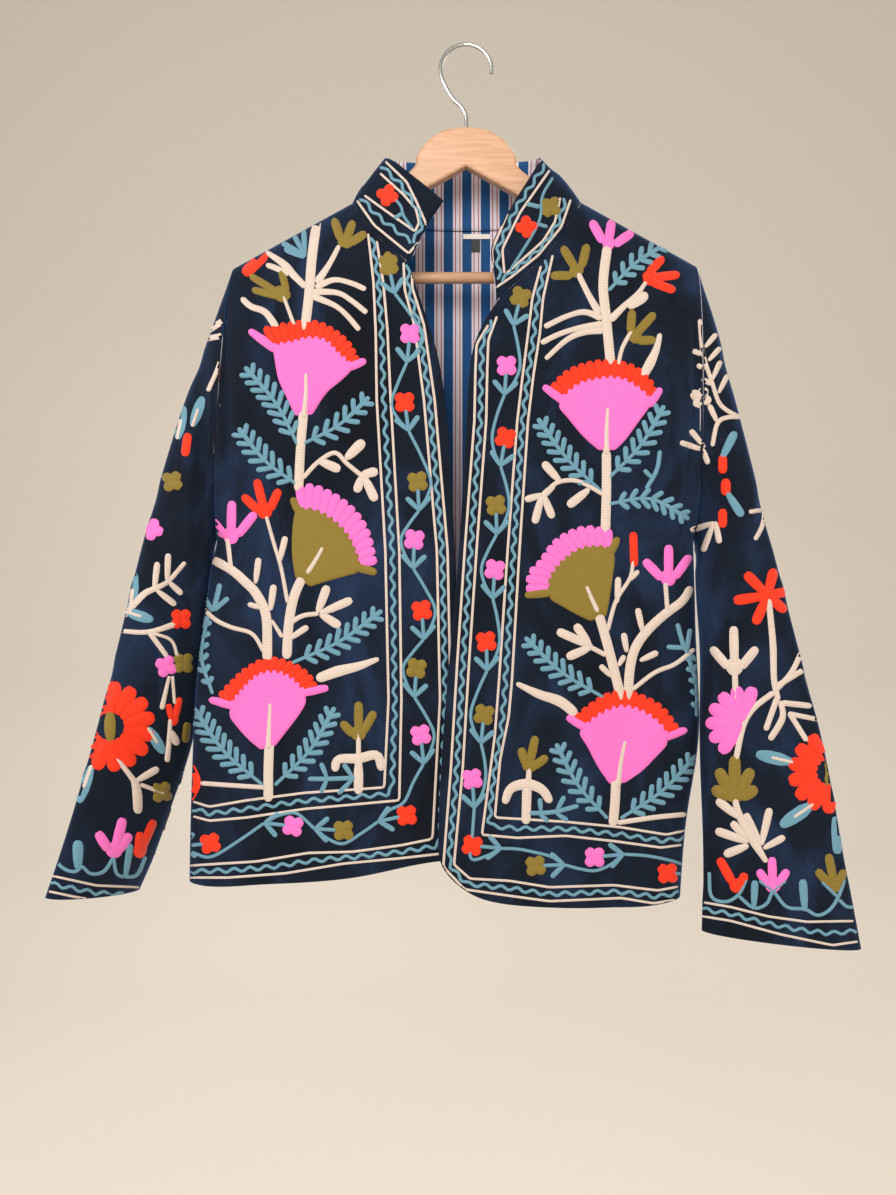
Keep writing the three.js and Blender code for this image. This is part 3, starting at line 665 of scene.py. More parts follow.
def vine(ground, blooms):
    # each bloom stands on a stalk from a joint with two leaves, and the stem swings round the next bloom in turn
    joint = None
    size = vineSizes
    for k, (colour, x, z, angle) in enumerate(blooms):
        centre = np.array((x, z), float)
        way = turned((0, -1), angle)
        hand = 1 if k % 2 else -1
        aside = turned(way, 90) * hand
        foot = centre + way * size["stalk"]
        if joint is not None:
            stroke(ground, [joint, (joint + centre) / 2 + aside * size["swing"] * 0.6,
                            centre + aside * size["swing"], centre + way * 15 + aside * 8, foot],
                   size["stem"], "teal", 1.1)
        stroke(ground, [centre + way * 7, foot], size["stem"] * 1.15, "teal", 1.1)
        for side in (-1, 1):
            out = turned(-way, side * size["leafAngle"])
            stroke(ground, [foot, foot + out * size["leafLength"] * 0.6 - way * 0.5,
                            foot + out * size["leafLength"]],
                   (size["stem"], size["leafWidth"], size["leafWidth"]), "teal", 1.2)
        bloom(ground, colour, x, z, angle + 6 * hand)
        joint = foot


def fan(ground, f):
    # a fan flower: round petals from the body's top curve out to an arc, over a body with scallops and two horns
    arc, top = (reading(smoothPath(f[name], 2)) for name in ("arc", "top"))
    span = distances(smoothPath(f["arc"], 2))[-1]
    inner = distances(smoothPath(f["top"], 2))[-1]
    for k in range(f["petals"]):
        t = (k + 0.5) / f["petals"]
        tip, root = arc(t), top(t)
        wide = span / f["petals"]
        low = inner / f["petals"] * fanSizes["petalRoot"]
        stroke(ground, [root + (root - tip) * fanSizes["tuck"], root, tip],
               (low, (low + wide) / 2, wide * fanSizes["petalTip"]), f["rim"], 1.5)
    sides = [reading(smoothPath(list(reversed(f[name])) + [f["top"][i]], 2))
             for name, i in (("left", 0), ("right", -1))]

    def place(u, v):
        u, v = (1 - math.cos(math.pi * u)) / 2, math.sin(math.pi / 2 * v)
        left, right = sides[0](v), sides[1](v)
        foot = sides[0](0) * (1 - u) + sides[1](0) * u
        bulge = top(u) - (top(0) * (1 - u) + top(1) * u)
        x, z = left * (1 - u) + right * u + bulge * v ** 1.5
        width = np.linalg.norm(right - left)
        depth = np.linalg.norm(top(0.5) - foot)
        rise = min(1, u * width / 2, (1 - u) * width / 2, v * depth / 2)
        return x, z, math.sqrt(max(rise, 0)), v * depth, (u - 0.5) * width

    layGrid(ground, fanSizes["columns"], fanSizes["rows"], place, f["body"], 1.6, 0.3)
    scallops = round(f["petals"] * fanSizes["scallops"])
    for k in range(scallops):
        t = (k + 0.5) / scallops
        rim, foot = top(t), (f["left"][-1] + np.array(f["right"][-1])) / 2
        way = unit(foot - rim)
        wide = inner / scallops
        stroke(ground, [rim + way * fanSizes["scallopIn"], rim - way * fanSizes["scallopOut"]],
               (wide * 0.75, wide * 1.05), f["body"], 1.6, 0.45)
    for horn, corner in zip(f["horns"], (top(0), top(1))):
        horn = np.array(horn, float)
        stroke(ground, [horn, corner, corner + unit(corner - horn) * 6], fanSizes["horn"], f["body"], 1.6, 0.35)


def embroider(ground, design):
    for kind, motif in (("borders", border), ("leaves", leaf), ("ferns", fern), ("twoTones", twoTone),
                        ("buds", bud), ("blooms", bloom), ("daisies", daisy)):
        for values in design.get(kind, []):
            motif(ground, *values)
    for colour, width, points in design.get("lines", []):
        stroke(ground, points, width, colour, 1.4, 0.15)
    for blooms in design.get("vines", []):
        vine(ground, blooms)
    for values in design.get("fans", []):
        fan(ground, values)
    for colour, width, points in design.get("over", []):
        stroke(ground, points, width, colour, 1.4, 1.2)


def finishStitches(name, bm):
    mesh = bpy.data.meshes.new(name)
    bm.to_mesh(mesh)
    bm.free()
    rows = mesh.uv_layers.new(name="rows")
    along, across = (mesh.attributes[layer].data for layer in ("along", "across"))
    for loop in mesh.loops:
        rows.data[loop.index].uv = (along[loop.vertex_index].value, across[loop.vertex_index].value)
    for material in threadMaterials:
        mesh.materials.append(material)
    piece = bpy.data.objects.new(name, mesh)
    bpy.context.collection.objects.link(piece)
    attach(piece, "root")
    print(name, sum(len(p.vertices) - 2 for p in mesh.polygons), "triangles")
    return piece


# The wearer's right front. Each table's columns are those of its motif's function; a line is colour, width, places
mainRight = {
    "lines": [
        ("cream", 9.6, [(-138, -176), (-144, -219), (-147, -255), (-151, -290)]),
        ("cream", (9.4, 9.2, 9.4), [(-157, -440), (-155, -400), (-152, -364)]),
        ("cream", (4.5, 5.5, 8.5), [(-119, -211), (-128, -228), (-140, -246)]),
        ("cream", (7, 5, 5.4), [(-141, -250), (-124, -243), (-108, -246), (-94, -252)]),
        ("cream", (7, 5, 5.4), [(-143, -254), (-121, -255), (-108, -262), (-93, -274)]),
        ("cream", (7, 5, 5.4), [(-144, -258), (-123, -267), (-112, -276), (-100, -290)]),
        ("cream", (4.5, 8, 6), [(-187, -217), (-171, -228), (-162, -238), (-150, -250)]),
        ("cream", (5.5, 6), [(-187, -229), (-178, -232), (-166, -238)]),
        ("cream", (6, 6.5, 7.5), [(-210, -260), (-201, -268), (-188, -273), (-177, -288)]),
        ("cream", (3.4, 4), [(-171, -258), (-161, -285)]), ("red", 12, [(-208, -238), (-187, -218)]),
        ("cream", 4.5, [(-153, -428), (-139, -413), (-123, -404), (-112, -414), (-95, -428)]),
        ("cream", (9.6, 9.6, 9), [(-168, -596), (-166, -564), (-161, -538), (-151, -517), (-134, -493)]),
        ("cream", (9.8, 9.6, 8.5), [(-186, -598), (-187, -557), (-196, -536), (-206, -525), (-220, -513),
                                    (-242, -501)]),
        ("cream", (4.4, 4.6), [(-220, -511), (-223, -484)]),
        ("cream", (4, 3.6), [(-167, -544), (-173, -512), (-180, -488), (-187, -463)]),
        ("cream", (4.5, 3.2), [(-172, -576), (-182, -560)]),
        ("cream", (5, 4.4), [(-165, -563), (-153, -556), (-138, -554)]),
        ("cream", (4, 4.6), [(-189, -590), (-200, -573), (-219, -567), (-234, -560), (-246, -549)]),
        ("teal", 4.6, [(-247, -532), (-240, -547), (-236, -552)]),
        ("teal", 5, [(-236, -551), (-230, -526)]), ("teal", 5, [(-236, -551), (-222, -539)]),
        ("cream", (9.6, 11, 8.5, 4.5), [(-140, -615), (-121, -608), (-101, -603), (-82, -596)]),
        ("cream", 9.6, [(-185, -729), (-185, -700), (-184, -672)]),
        ("cream", (4.6, 4.8, 9.6, 9), [(-101, -664), (-101, -684), (-101, -700), (-101, -722)]),
        ("cream", (8, 10, 8.5), [(-123, -701), (-120, -690), (-101, -689), (-84, -686), (-79, -700)]),
        ("teal", 4.6, [(-148, -708), (-128, -708), (-104, -707)]),
        ("cream", 4.6, [(-248, -712), (-220, -714), (-188, -716)]),
        ("red", (7, 14, 7), [(-258, -694), (-254, -711), (-259, -729)]),
    ],
    "leaves": [
        ("cream", 10.5, (-113, -410), (-96, -393)), ("cream", 9.5, (-139, -411), (-118, -420)),
        ("cream", 9.5, (-99, -425), (-83, -421)), ("cream", 9, (-98, -426), (-103, -441)),
        ("cream", 9.5, (-96, -426), (-85, -449)), ("cream", 7, (-183, -551), (-180, -527)),
        ("cream", 6.5, (-197, -526), (-194, -502)), ("cream", 5.5, (-191, -549), (-204, -545)),
        ("cream", 6.5, (-175, -507), (-169, -482)), ("cream", 6.5, (-166, -578), (-148, -566)),
        ("cream", 9, (-139, -553), (-130, -528)), ("cream", 8.5, (-137, -554), (-107, -541)),
        ("cream", 9, (-137, -554), (-118, -566)), ("teal", 5.5, (-151, -222), (-152, -196)),
        ("teal", 6.5, (-151, -222), (-170, -214)), ("teal", 5.5, (-152, -219), (-179, -205)),
        ("teal", 5.5, (-152, -218), (-163, -198)), ("teal", 5, (-130, -708), (-136, -693)),
        ("teal", 5, (-130, -708), (-136, -721)), ("teal", 5, (-106, -707), (-115, -694)),
        ("teal", 5, (-106, -708), (-120, -722)),
    ],
    "ferns": [
        ((-157, -398), (-207, -324), -5), ((-155, -436), (-213, -381), 5), ((-153, -396), (-91, -352), -5, 15),
        ((-163, -600), (-79, -551), -5, 15), ((-190, -714), (-255, -641), 6), ((-179, -714), (-123, -641), -6, 15),
        ((-237, -629), (-242, -556), 8, 9),
    ],
    "buds": [
        ("olive", (-115, -213), [(-124, -186), (-106, -188), (-94, -199)]),
        ("olive", (-166, -261), [(-173, -234), (-202, -239), (-200, -252)], 7.6),
        ("pink", (-220, -489), [(-219, -449), (-241, -463), (-197, -460)], 9.5),
        ("red", (-187, -465), [(-196, -429), (-209, -444), (-175, -438)]),
        ("olive", (-101, -672), [(-101, -636), (-117, -655), (-86, -645)]),
    ],
    "fans": [
        {"petals": 14, "rim": "red", "body": "pink", "horns": [(-203, -290), (-94, -318)],
         "arc": [(-191, -288), (-183, -285), (-164, -282), (-146, -280), (-129, -285), (-110, -299), (-99, -318)],
         "top": [(-182, -305), (-164, -302), (-146, -298), (-131, -301), (-120, -312), (-107, -323)],
         "left": [(-180, -313), (-176, -335), (-168, -353), (-160, -370)],
         "right": [(-108, -328), (-117, -337), (-131, -349), (-144, -369)]},
        {"petals": 13, "rim": "pink", "body": "olive", "horns": [(-163, -446), (-84, -516)],
         "arc": [(-160, -436), (-144, -433), (-122, -442), (-103, -457), (-90, -478), (-83, -508)],
         "top": [(-157, -457), (-143, -458), (-127, -466), (-112, -481), (-103, -499), (-100, -511)],
         "left": [(-161, -462), (-163, -480), (-163, -500), (-160, -521)],
         "right": [(-102, -516), (-112, -519), (-130, -524), (-146, -529)]},
        {"petals": 15, "rim": "red", "body": "pink", "horns": [(-240, -634), (-129, -623)],
         "arc": [(-233, -630), (-221, -617), (-205, -603), (-183, -594), (-158, -601), (-144, -612), (-138, -623)],
         "top": [(-220, -639), (-205, -621), (-192, -611), (-178, -609), (-165, -614), (-151, -627)],
         "left": [(-221, -650), (-213, -661), (-203, -672), (-192, -681)],
         "right": [(-150, -637), (-156, -648), (-165, -660), (-179, -678)]},
    ],
    "over": [
        ("cream", (4, 5.6, 6.6), [(-150, -330), (-150, -350), (-152, -372)]),
        ("cream", (4, 5.8, 7), [(-183, -637), (-184, -660), (-185, -680)]),
        ("cream", (4.5, 5.6, 6.4), [(-134, -492), (-140, -503), (-149, -517)]),
    ],
}
edgeRight = {
    "borders": [
        ([(-92, -200), (-87, -245), (-85, -290), (-84, -355), (-76, -495), (-73, -634), (-77, -716), (-151, -721),
          (-205, -728), (-240, -734), (-262, -727)],
         [(-84, -207), (-78, -245), (-74, -290), (-71, -355), (-63, -495), (-61, -634), (-63, -728), (-151, -736),
          (-205, -744), (-240, -747), (-262, -741)]),
        ([(-59, -227), (-58, -252), (-49, -285), (-40, -355), (-28, -495), (-25, -634), (-32, -764), (-62, -770),
          (-107, -776), (-148, -777), (-196, -785), (-262, -789)],
         [(-51, -231), (-51, -250), (-40, -285), (-30, -355), (-18, -495), (-15, -634), (-18, -777), (-62, -782),
          (-115, -787), (-169, -796), (-222, -800), (-262, -800)]),
    ],
    "lines": [("olive", 9, [(-72, -239), (-74, -217)])],
    "vines": [[
        ("olive", -73, -229, 12), ("pink", -53, -293, -6), ("red", -58, -357, 8), ("olive", -46, -431, 3),
        ("pink", -49, -485, -2), ("red", -42, -551, 4), ("olive", -47, -605, -4), ("pink", -43, -667, 6),
        ("red", -56, -742, -78), ("olive", -115, -756, -93), ("pink", -162, -752, -96), ("red", -239, -768, -84)]],
}

# The wearer's left front
mainLeft = {
    "lines": [
        ("cream", 9.6, [(131, -211), (127, -247), (130, -280), (134, -322)]),
        ("cream", (9.6, 9.4, 9.2), [(129, -478), (130, -440), (130, -402)]),
        ("cream", (5.5, 6, 8), [(103, -236), (114, -258), (124, -275)]),
        ("cream", (7, 5.2, 5.6), [(126, -279), (110, -273), (93, -277), (72, -287)]),
        ("cream", (7, 5.2, 5.6), [(127, -284), (104, -288), (85, -294), (69, -302)]),
        ("cream", (7, 5.6, 4.6), [(128, -290), (109, -292), (93, -299), (73, -317)]),
        ("cream", (8, 5.5, 4), [(133, -281), (147, -267), (159, -256), (167, -245)]),
        ("cream", (4, 4.5), [(141, -322), (145, -306), (154, -290)]),
        ("cream", (9, 10, 7, 4.8), [(164, -333), (172, -318), (177, -306), (180, -293)]),
        ("cream", (4.2, 4.6), [(127, -443), (115, -436), (101, -430), (84, -432), (71, -444)]),
        ("cream", (9.6, 9.6, 9), [(144, -634), (135, -598), (128, -572), (121, -550), (111, -529)]),
        ("cream", (9.6, 9.6, 8.5), [(150, -634), (152, -605), (157, -586), (168, -570), (184, -555), (201, -542),
                                    (209, -529)]),
        ("cream", 4.6, [(187, -552), (185, -525)]),
        ("cream", (4.4, 3.8), [(131, -570), (139, -542), (152, -521), (155, -504)]),
        ("red", 8, [(155, -478), (156, -510)]), ("cream", (5, 4.6), [(130, -593), (115, -585)]),
        ("cream", (4.5, 8.5, 10.5, 9.6), [(46, -619), (67, -629), (87, -636), (102, -648)]),
        ("cream", (4.4, 4.6), [(154, -625), (175, -609), (194, -601), (212, -587)]),
        ("teal", 4.6, [(214, -598), (203, -586), (196, -563)]), ("teal", 4.8, [(203, -586), (186, -585)]),
        ("teal", 4.8, [(205, -588), (208, -568)]), ("teal", 4.4, [(167, -438), (177, -420), (180, -402)]),
        ("cream", 9.6, [(136, -752), (138, -730), (139, -706)]),
        ("cream", (5, 6), [(58, -697), (57, -716)]), ("cream", (9, 9.6), [(55, -750), (56, -716)]),
        ("cream", (7.5, 11, 8), [(35, -731), (41, -717), (56, -713), (70, -718), (78, -730)]),
        ("teal", 4.6, [(58, -740), (80, -739), (104, -733)]), ("cream", 5, [(140, -749), (174, -744), (204, -741)]),
    ],
    "leaves": [
        ("cream", 11, (150, -269), (168, -256)), ("cream", 8.5, (87, -431), (71, -413)),
        ("cream", 9, (114, -438), (94, -454)), ("cream", 7, (82, -434), (70, -445)),
        ("cream", 7, (71, -443), (54, -448)), ("cream", 8, (70, -443), (63, -470)),
        ("cream", 8, (71, -443), (80, -465)),
        ("cream", 6.5, (149, -590), (146, -572)), ("cream", 6.5, (164, -572), (159, -549)),
        ("cream", 6.5, (161, -598), (178, -590)), ("cream", 5.5, (141, -603), (147, -593)),
        ("cream", 6, (135, -613), (124, -602)), ("cream", 6.5, (140, -544), (141, -520)),
        ("cream", 5, (152, -523), (160, -514)), ("cream", 9, (117, -585), (84, -570)),
        ("cream", 9, (115, -584), (101, -564)), ("cream", 9, (116, -585), (93, -595)),
        ("teal", 5, (69, -739), (68, -726)), ("teal", 5, (67, -740), (76, -748)),
        ("teal", 5, (83, -739), (91, -724)),
        ("teal", 5, (83, -740), (94, -747)), ("teal", 4.6, (173, -428), (165, -420)),
    ],
    "ferns": [
        ((132, -253), (186, -209), 4, 13), ((125, -440), (66, -372), 4, 15), ((132, -428), (184, -360), -5, 15),
        ((131, -452), (207, -466), 12, 13), ((127, -632), (54, -576), 5, 15), ((131, -745), (83, -675), 5, 15),
        ((143, -745), (214, -686), -5, 15), ((214, -650), (205, -590), -4, 8),
    ],
    "buds": [
        ("pink", (131, -215), [(135, -187), (116, -188), (155, -198)], 9.5, 12),
        ("olive", (105, -239), [(89, -212), (112, -210), (78, -239)]),
        ("red", (164, -242), [(183, -222), (198, -238), (194, -253)]),
        ("olive", (152, -300), [(154, -271), (175, -274), (176, -299)]),
        ("pink", (188, -528), [(188, -490), (165, -504), (208, -500)], 9.5),
        ("olive", (57, -701), [(64, -668), (50, -679), (75, -687)]),
    ],
    "fans": [
        {"petals": 15, "rim": "red", "body": "pink", "horns": [(71, -342), (181, -344)],
         "arc": [(77, -342), (91, -328), (109, -320), (130, -317), (153, -321), (169, -332), (178, -347)],
         "top": [(88, -354), (104, -341), (123, -336), (138, -335), (151, -339), (165, -349), (172, -356)],
         "left": [(86, -362), (94, -372), (109, -390), (123, -402)],
         "right": [(170, -362), (159, -377), (148, -392), (138, -402)]},
        {"petals": 13, "rim": "pink", "body": "olive", "horns": [(54, -537), (141, -483)],
         "arc": [(55, -535), (56, -517), (66, -505), (80, -486), (98, -475), (115, -472), (136, -476)],
         "top": [(77, -534), (78, -521), (88, -507), (104, -495), (120, -492), (135, -494)],
         "left": [(78, -541), (88, -547), (102, -555), (115, -561)],
         "right": [(138, -502), (136, -520), (133, -540), (130, -557)]},
        {"petals": 14, "rim": "red", "body": "pink", "horns": [(93, -650), (205, -662)],
         "arc": [(98, -650), (116, -636), (132, -627), (148, -625), (166, -630), (184, -641), (199, -661)],
         "top": [(109, -659), (126, -647), (144, -641), (162, -645), (178, -656), (187, -668)],
         "left": [(105, -666), (112, -678), (122, -697), (133, -713)],
         "right": [(186, -677), (176, -688), (163, -701), (147, -712)]},
    ],
    "over": [
        ("cream", (4, 5.6, 6.6), [(131, -362), (130, -384), (130, -406)]),
        ("cream", (4.5, 5.8, 7), [(147, -672), (143, -692), (140, -716)]),
        ("cream", (4.5, 5.6, 6.4), [(111, -528), (116, -540), (122, -553)]),
    ],
}
edgeLeft = {
    "borders": [
        ([(80, -220), (71, -260), (68, -293), (62, -332), (57, -374), (49, -495), (42, -616), (39, -650),
          (31, -690), (26, -744), (92, -748), (143, -753), (186, -760), (204, -756)],
         [(69, -230), (61, -260), (57, -293), (52, -332), (47, -374), (38, -495), (30, -616), (26, -668),
          (14, -760), (47, -763), (92, -761), (137, -766), (181, -772), (204, -769)]),
        ([(28, -277), (20, -299), (19, -326), (18, -374), (9, -495), (2, -600), (-4, -700), (-12, -788), (3, -801),
          (40, -803), (77, -809), (137, -807), (178, -812), (204, -807)],
         [(20, -285), (9, -303), (8, -326), (7, -374), (-2, -495), (-9, -600), (-15, -700), (-22, -790), (-2, -811),
          (40, -817), (77, -822), (144, -819), (174, -824), (204, -819)]),
    ],
    "vines": [[
        ("olive", 50, -259, -14), ("pink", 37, -323, -4), ("red", 36, -390, -10), ("olive", 27, -453, 2),
        ("pink", 26, -513, -4), ("red", 18, -580, 2), ("olive", 16, -648, -6), ("pink", 5, -708, 4),
        ("red", 5, -770, 84), ("olive", 64, -789, 92), ("pink", 119, -781, 96), ("red", 187, -796, 88)]],
}

# The sleeves, each in two tables because the camera's rays were read at different depths
topRight = {
    "lines": [
        ("cream", 6.5, [(-248, -285), (-226, -270)]), ("cream", 6, [(-250, -292), (-228, -288)]),
        ("cream", 4.4, [(-233, -294), (-236, -315), (-247, -342)]), ("red", 9, [(-266, -382), (-269, -404)]),
    ],
    "twoTones": [((-262, -376), (-252, -347)), ((-276, -388), (-270, -356))],
    "blooms": [("olive", -281, -428, 10), ("pink", -300, -474, 30)],
}
lowRight = {
    "lines": [
        ("cream", (4.6, 7, 5, 4.4), [(-324, -562), (-302, -537), (-291, -531), (-278, -524), (-262, -506)]),
        ("cream", (4.4, 5, 6.5), [(-324, -570), (-296, -571), (-266, -562)]),
        ("cream", 5, [(-296, -571), (-279, -594)]),
        ("cream", 3.4, [(-293, -572), (-275, -579), (-269, -596)]),
        ("cream", (3.2, 5.5), [(-277, -612), (-284, -643)]),
        ("cream", 3.4, [(-274, -612), (-272, -638)]),
        ("cream", (4, 5, 6), [(-276, -652), (-277, -670), (-279, -692)]),
        ("olive", 8, [(-260, -655), (-262, -674)]), ("cream", (4.4, 6), [(-327, -688), (-317, -700), (-308, -712)]),
        ("cream", (7, 10, 9), [(-310, -707), (-307, -720), (-306, -740)]),
        ("cream", 4.2, [(-304, -713), (-280, -722)]),
        ("teal", 3.6, [(-383, -784), (-374, -792), (-364, -794), (-358, -788)]),
        ("teal", 3.6, [(-358, -789), (-350, -796), (-338, -794), (-329, -781)]),
        ("teal", 3.6, [(-329, -780), (-326, -796), (-318, -799)]),
        ("teal", 3.6, [(-318, -799), (-307, -797), (-299, -780)]),
    ],
    "leaves": [
        ("cream", 6.5, (-291, -532), (-288, -506)), ("cream", 6.5, (-279, -524), (-278, -498)),
        ("cream", 6.5, (-289, -532), (-271, -546)), ("cream", 6, (-278, -524), (-265, -536)),
        ("cream", 8.5, (-277, -662), (-269, -676)), ("cream", 7.5, (-308, -710), (-287, -698)),
        ("teal", 11, (-362, -792), (-362, -765)), ("teal", 7, (-318, -800), (-313, -768)),
    ],
    "twoTones": [
        ((-313, -553), (-309, -516)), ((-318, -552), (-292, -560)), ((-297, -660), (-282, -684)),
        ((-349, -695), (-361, -730)),
    ],
    "blooms": [("red", -266, -559, 0), ("pink", -280, -603, 20), ("olive", -264, -600, 0),
               ("olive", -284, -720, 10)],
    "buds": [
        ("red", (-273, -658), [(-267, -632), (-278, -638)], 7, 10),
        ("pink", (-329, -781), [(-320, -744), (-344, -757), (-313, -759)], 10.5, 17),
        ("red", (-306, -781), [(-291, -746), (-304, -757)], 9, 13),
    ],
    "daisies": [("red", -332, -659, 42, 15)],
    "borders": [([(-386, -798), (-345, -807), (-298, -809)],
                 [(-396, -811), (-363, -818), (-334, -822), (-300, -823)])],
}
topLeft = {
    "lines": [
        ("cream", 4.4, [(224, -272), (227, -304), (236, -333), (244, -354), (263, -367)]),
        ("cream", 4.6, [(266, -366), (251, -366), (241, -372), (236, -394)]),
        ("red", 9, [(246, -402), (246, -420)]),
        ("red", 10, [(249, -425), (249, -441)]), ("red", 9, [(246, -454), (246, -472)]),
        ("cream", 4.6, [(271, -457), (285, -456), (284, -470), (277, -484)]),
    ],
    "leaves": [
        ("cream", 5.6, (229, -299), (240, -286)), ("cream", 5.6, (232, -312), (244, -299)),
        ("cream", 5.6, (236, -330), (244, -312)), ("cream", 5.6, (242, -343), (251, -325)),
        ("cream", 5.6, (227, -306), (217, -302)), ("cream", 5.6, (230, -319), (221, -316)),
        ("cream", 5.6, (236, -335), (226, -329)), ("cream", 6, (241, -371), (233, -354)),
        ("cream", 6, (229, -398), (205, -390)), ("cream", 6, (229, -395), (215, -378)),
        ("cream", 6, (227, -396), (232, -411)), ("teal", 9, (245, -406), (258, -380)),
        ("teal", 9, (250, -438), (265, -461)), ("cream", 6.5, (238, -467), (215, -475)),
        ("cream", 6.5, (237, -468), (227, -495)), ("cream", 6.5, (239, -466), (243, -487)),
    ],
    "blooms": [("cream", 225, -347, 20)],
}
lowLeft = {
    "lines": [
        ("cream", (6, 7, 5.6), [(284, -540), (288, -583), (289, -616), (293, -636)]),
        ("cream", 5.6, [(289, -628), (305, -610), (315, -590)]), ("cream", 5.6, [(292, -622), (320, -605)]),
        ("cream", 6, [(289, -628), (270, -643), (260, -660), (253, -692)]),
        ("cream", 6, [(292, -633), (281, -664)]),
        ("cream", (5, 7, 6.5), [(295, -636), (297, -652), (285, -673)]), ("cream", 6, [(296, -638), (324, -641)]),
        ("cream", 5, [(302, -648), (332, -654)]), ("cream", 5.4, [(303, -647), (320, -674)]),
        ("cream", 6, [(252, -606), (253, -636)]),
        ("cream", (6, 8, 9, 5), [(252, -727), (256, -743), (268, -765), (282, -788)]),
        ("teal", 3.6, [(228, -797), (230, -820), (244, -825), (256, -818), (263, -804)]),
        ("teal", 3.6, [(256, -820), (270, -831), (282, -827), (288, -815), (300, -805)]),
        ("teal", 3.6, [(275, -805), (288, -815), (301, -830), (318, -832), (330, -838), (342, -832), (350, -819),
                       (355, -804)]),
        ("teal", 3.6, [(334, -806), (348, -820)]), ("teal", 3.6, [(350, -823), (358, -830), (370, -829)]),
    ],
    "leaves": [
        ("red", 10.5, (283, -537), (262, -516)), ("red", 10.5, (283, -537), (289, -512)),
        ("red", 10.5, (283, -537), (303, -533)), ("red", 10.5, (283, -537), (300, -552)),
        ("red", 10.5, (283, -537), (271, -564)), ("red", 10.5, (283, -537), (251, -542)),
        ("cream", 9, (256, -746), (235, -729)), ("cream", 9, (265, -769), (234, -758)),
        ("cream", 9, (265, -772), (242, -781)),
        ("cream", 8, (263, -766), (249, -750)), ("cream", 7.5, (277, -772), (262, -742)),
        ("cream", 8, (277, -772), (285, -737)), ("cream", 7.5, (279, -775), (299, -764)),
        ("teal", 10, (346, -745), (349, -780)),
        ("teal", 7.5, (270, -831), (271, -805)), ("teal", 8.5, (318, -834), (316, -804)),
    ],
    "twoTones": [((307, -694), (272, -686), 13), ((326, -733), (295, -754), 14)],
    "buds": [
        ("cream", (252, -612), [(251, -566), (230, -586), (273, -586)], 9.5, 17),
        ("olive", (252, -731), [(252, -688), (236, -700), (268, -700), (231, -718), (273, -718)], 12.5, 22),
        ("red", (255, -816), [(237, -784), (262, -798)], 9.5, 14),
        ("pink", (288, -816), [(287, -783), (274, -795), (302, -795)]),
        ("olive", (347, -816), [(340, -780), (329, -795), (355, -795)]),
    ],
    "daisies": [("pink", 260, -657, 35, 7, 62, 246, None), ("red", 341, -703, 39, 14)],
    "borders": [([(219, -825), (248, -830), (284, -839), (320, -844), (374, -843)],
                 [(217, -838), (248, -843), (296, -856), (344, -866), (378, -861)])],
}

# What runs on from the left sleeve over the armhole's seam onto the front
overArm = {"lines": topLeft["lines"][:1], "leaves": topLeft["leaves"], "blooms": topLeft["blooms"]}

# The collar's two front ends, and its back, which no photo shows
collarFront = {
    "borders": [
        ([(-104, -162), (-88, -185), (-55, -212)], [(-97, -157), (-72, -175), (-49, -191)]),
        ([(-80, -122), (-57, -144), (-48, -162), (-38, -185), (-38, -193), (-55, -212)],
         [(-82, -136), (-60, -156), (-48, -170), (-45, -183), (-49, -191)]),
        ([(71, -122), (43, -165), (24, -209), (27, -243)], [(79, -133), (51, -173), (34, -208), (36, -231)]),
        ([(27, -245), (42, -235), (68, -214), (90, -187), (99, -161)],
         [(38, -231), (54, -217), (73, -200), (84, -182), (89, -159)]),
    ],
    "blooms": [("red", -75, -157, 30), ("red", 57, -187, 50), ("olive", 80, -168, 10)],
    "lines": [
        ("teal", 3.2, [(-51, -189), (-60, -176), (-62, -168), (-68, -160)]),
        ("teal", 4, [(-61, -174), (-69, -179)]),
        ("teal", 3.2, [(41, -229), (68, -184), (72, -158), (82, -140)]), ("teal", 4.4, [(70, -168), (57, -165)]),
        ("teal", 3.6, [(67, -184), (77, -187)]),
    ],
}
collarBack = {
    "borders": [
        ([(-96, -157), (-50, -160), (0, -161), (50, -160), (96, -157)],
         [(-92, -147), (-50, -150), (0, -151), (50, -150), (92, -147)]),
        ([(-80, -106), (-40, -102), (0, -100), (40, -101), (76, -103)],
         [(-84, -116), (-40, -112), (0, -110), (40, -111), (80, -113)]),
    ],
    "blooms": [("olive", -56, -131, 0), ("pink", 0, -130, 0), ("red", 56, -131, 0)],
    "lines": [("teal", 3.4, [(-46, -132), (-28, -124), (-11, -130)]),
              ("teal", 3.4, [(11, -130), (28, -138), (46, -131)]),
              ("teal", 5, [(-28, -125), (-24, -139)]), ("teal", 5, [(28, -137), (32, -123)])],
}

# The back, which no photo shows: the two front trees again, with a spray repeated up the middle
spray = {
    "lines": mainRight["lines"][:6], "ferns": mainRight["ferns"][:3], "fans": mainRight["fans"][:1],
    "over": mainRight["over"][:1], "buds": mainRight["buds"][:1],
}
backEdge = {
    "borders": [
        ([(-268, -737), (-150, -733), (0, -729), (120, -745), (208, -757)],
         [(-268, -750), (-150, -746), (0, -742), (120, -758), (208, -770)]),
        ([(-269, -791), (-150, -788), (0, -779), (120, -797), (209, -808)],
         [(-269, -803), (-150, -800), (0, -791), (120, -809), (209, -820)]),
    ],
    "vines": [[("pink", -205, -770, 90), ("red", -135, -767, 90), ("olive", -65, -763, 90), ("pink", 5, -761, 90),
               ("red", 75, -766, 88), ("olive", 145, -779, 86)]],
}


def stitchPanel(node, layers):
    # one embroidered piece for a panel: each layer is the side it is seen from, its design, and where it lies
    bm = newStitches()
    for face, design, place in layers:
        embroider(newGround(node, face, bm, **place), design)
    return finishStitches(node + "_stitches", bm)


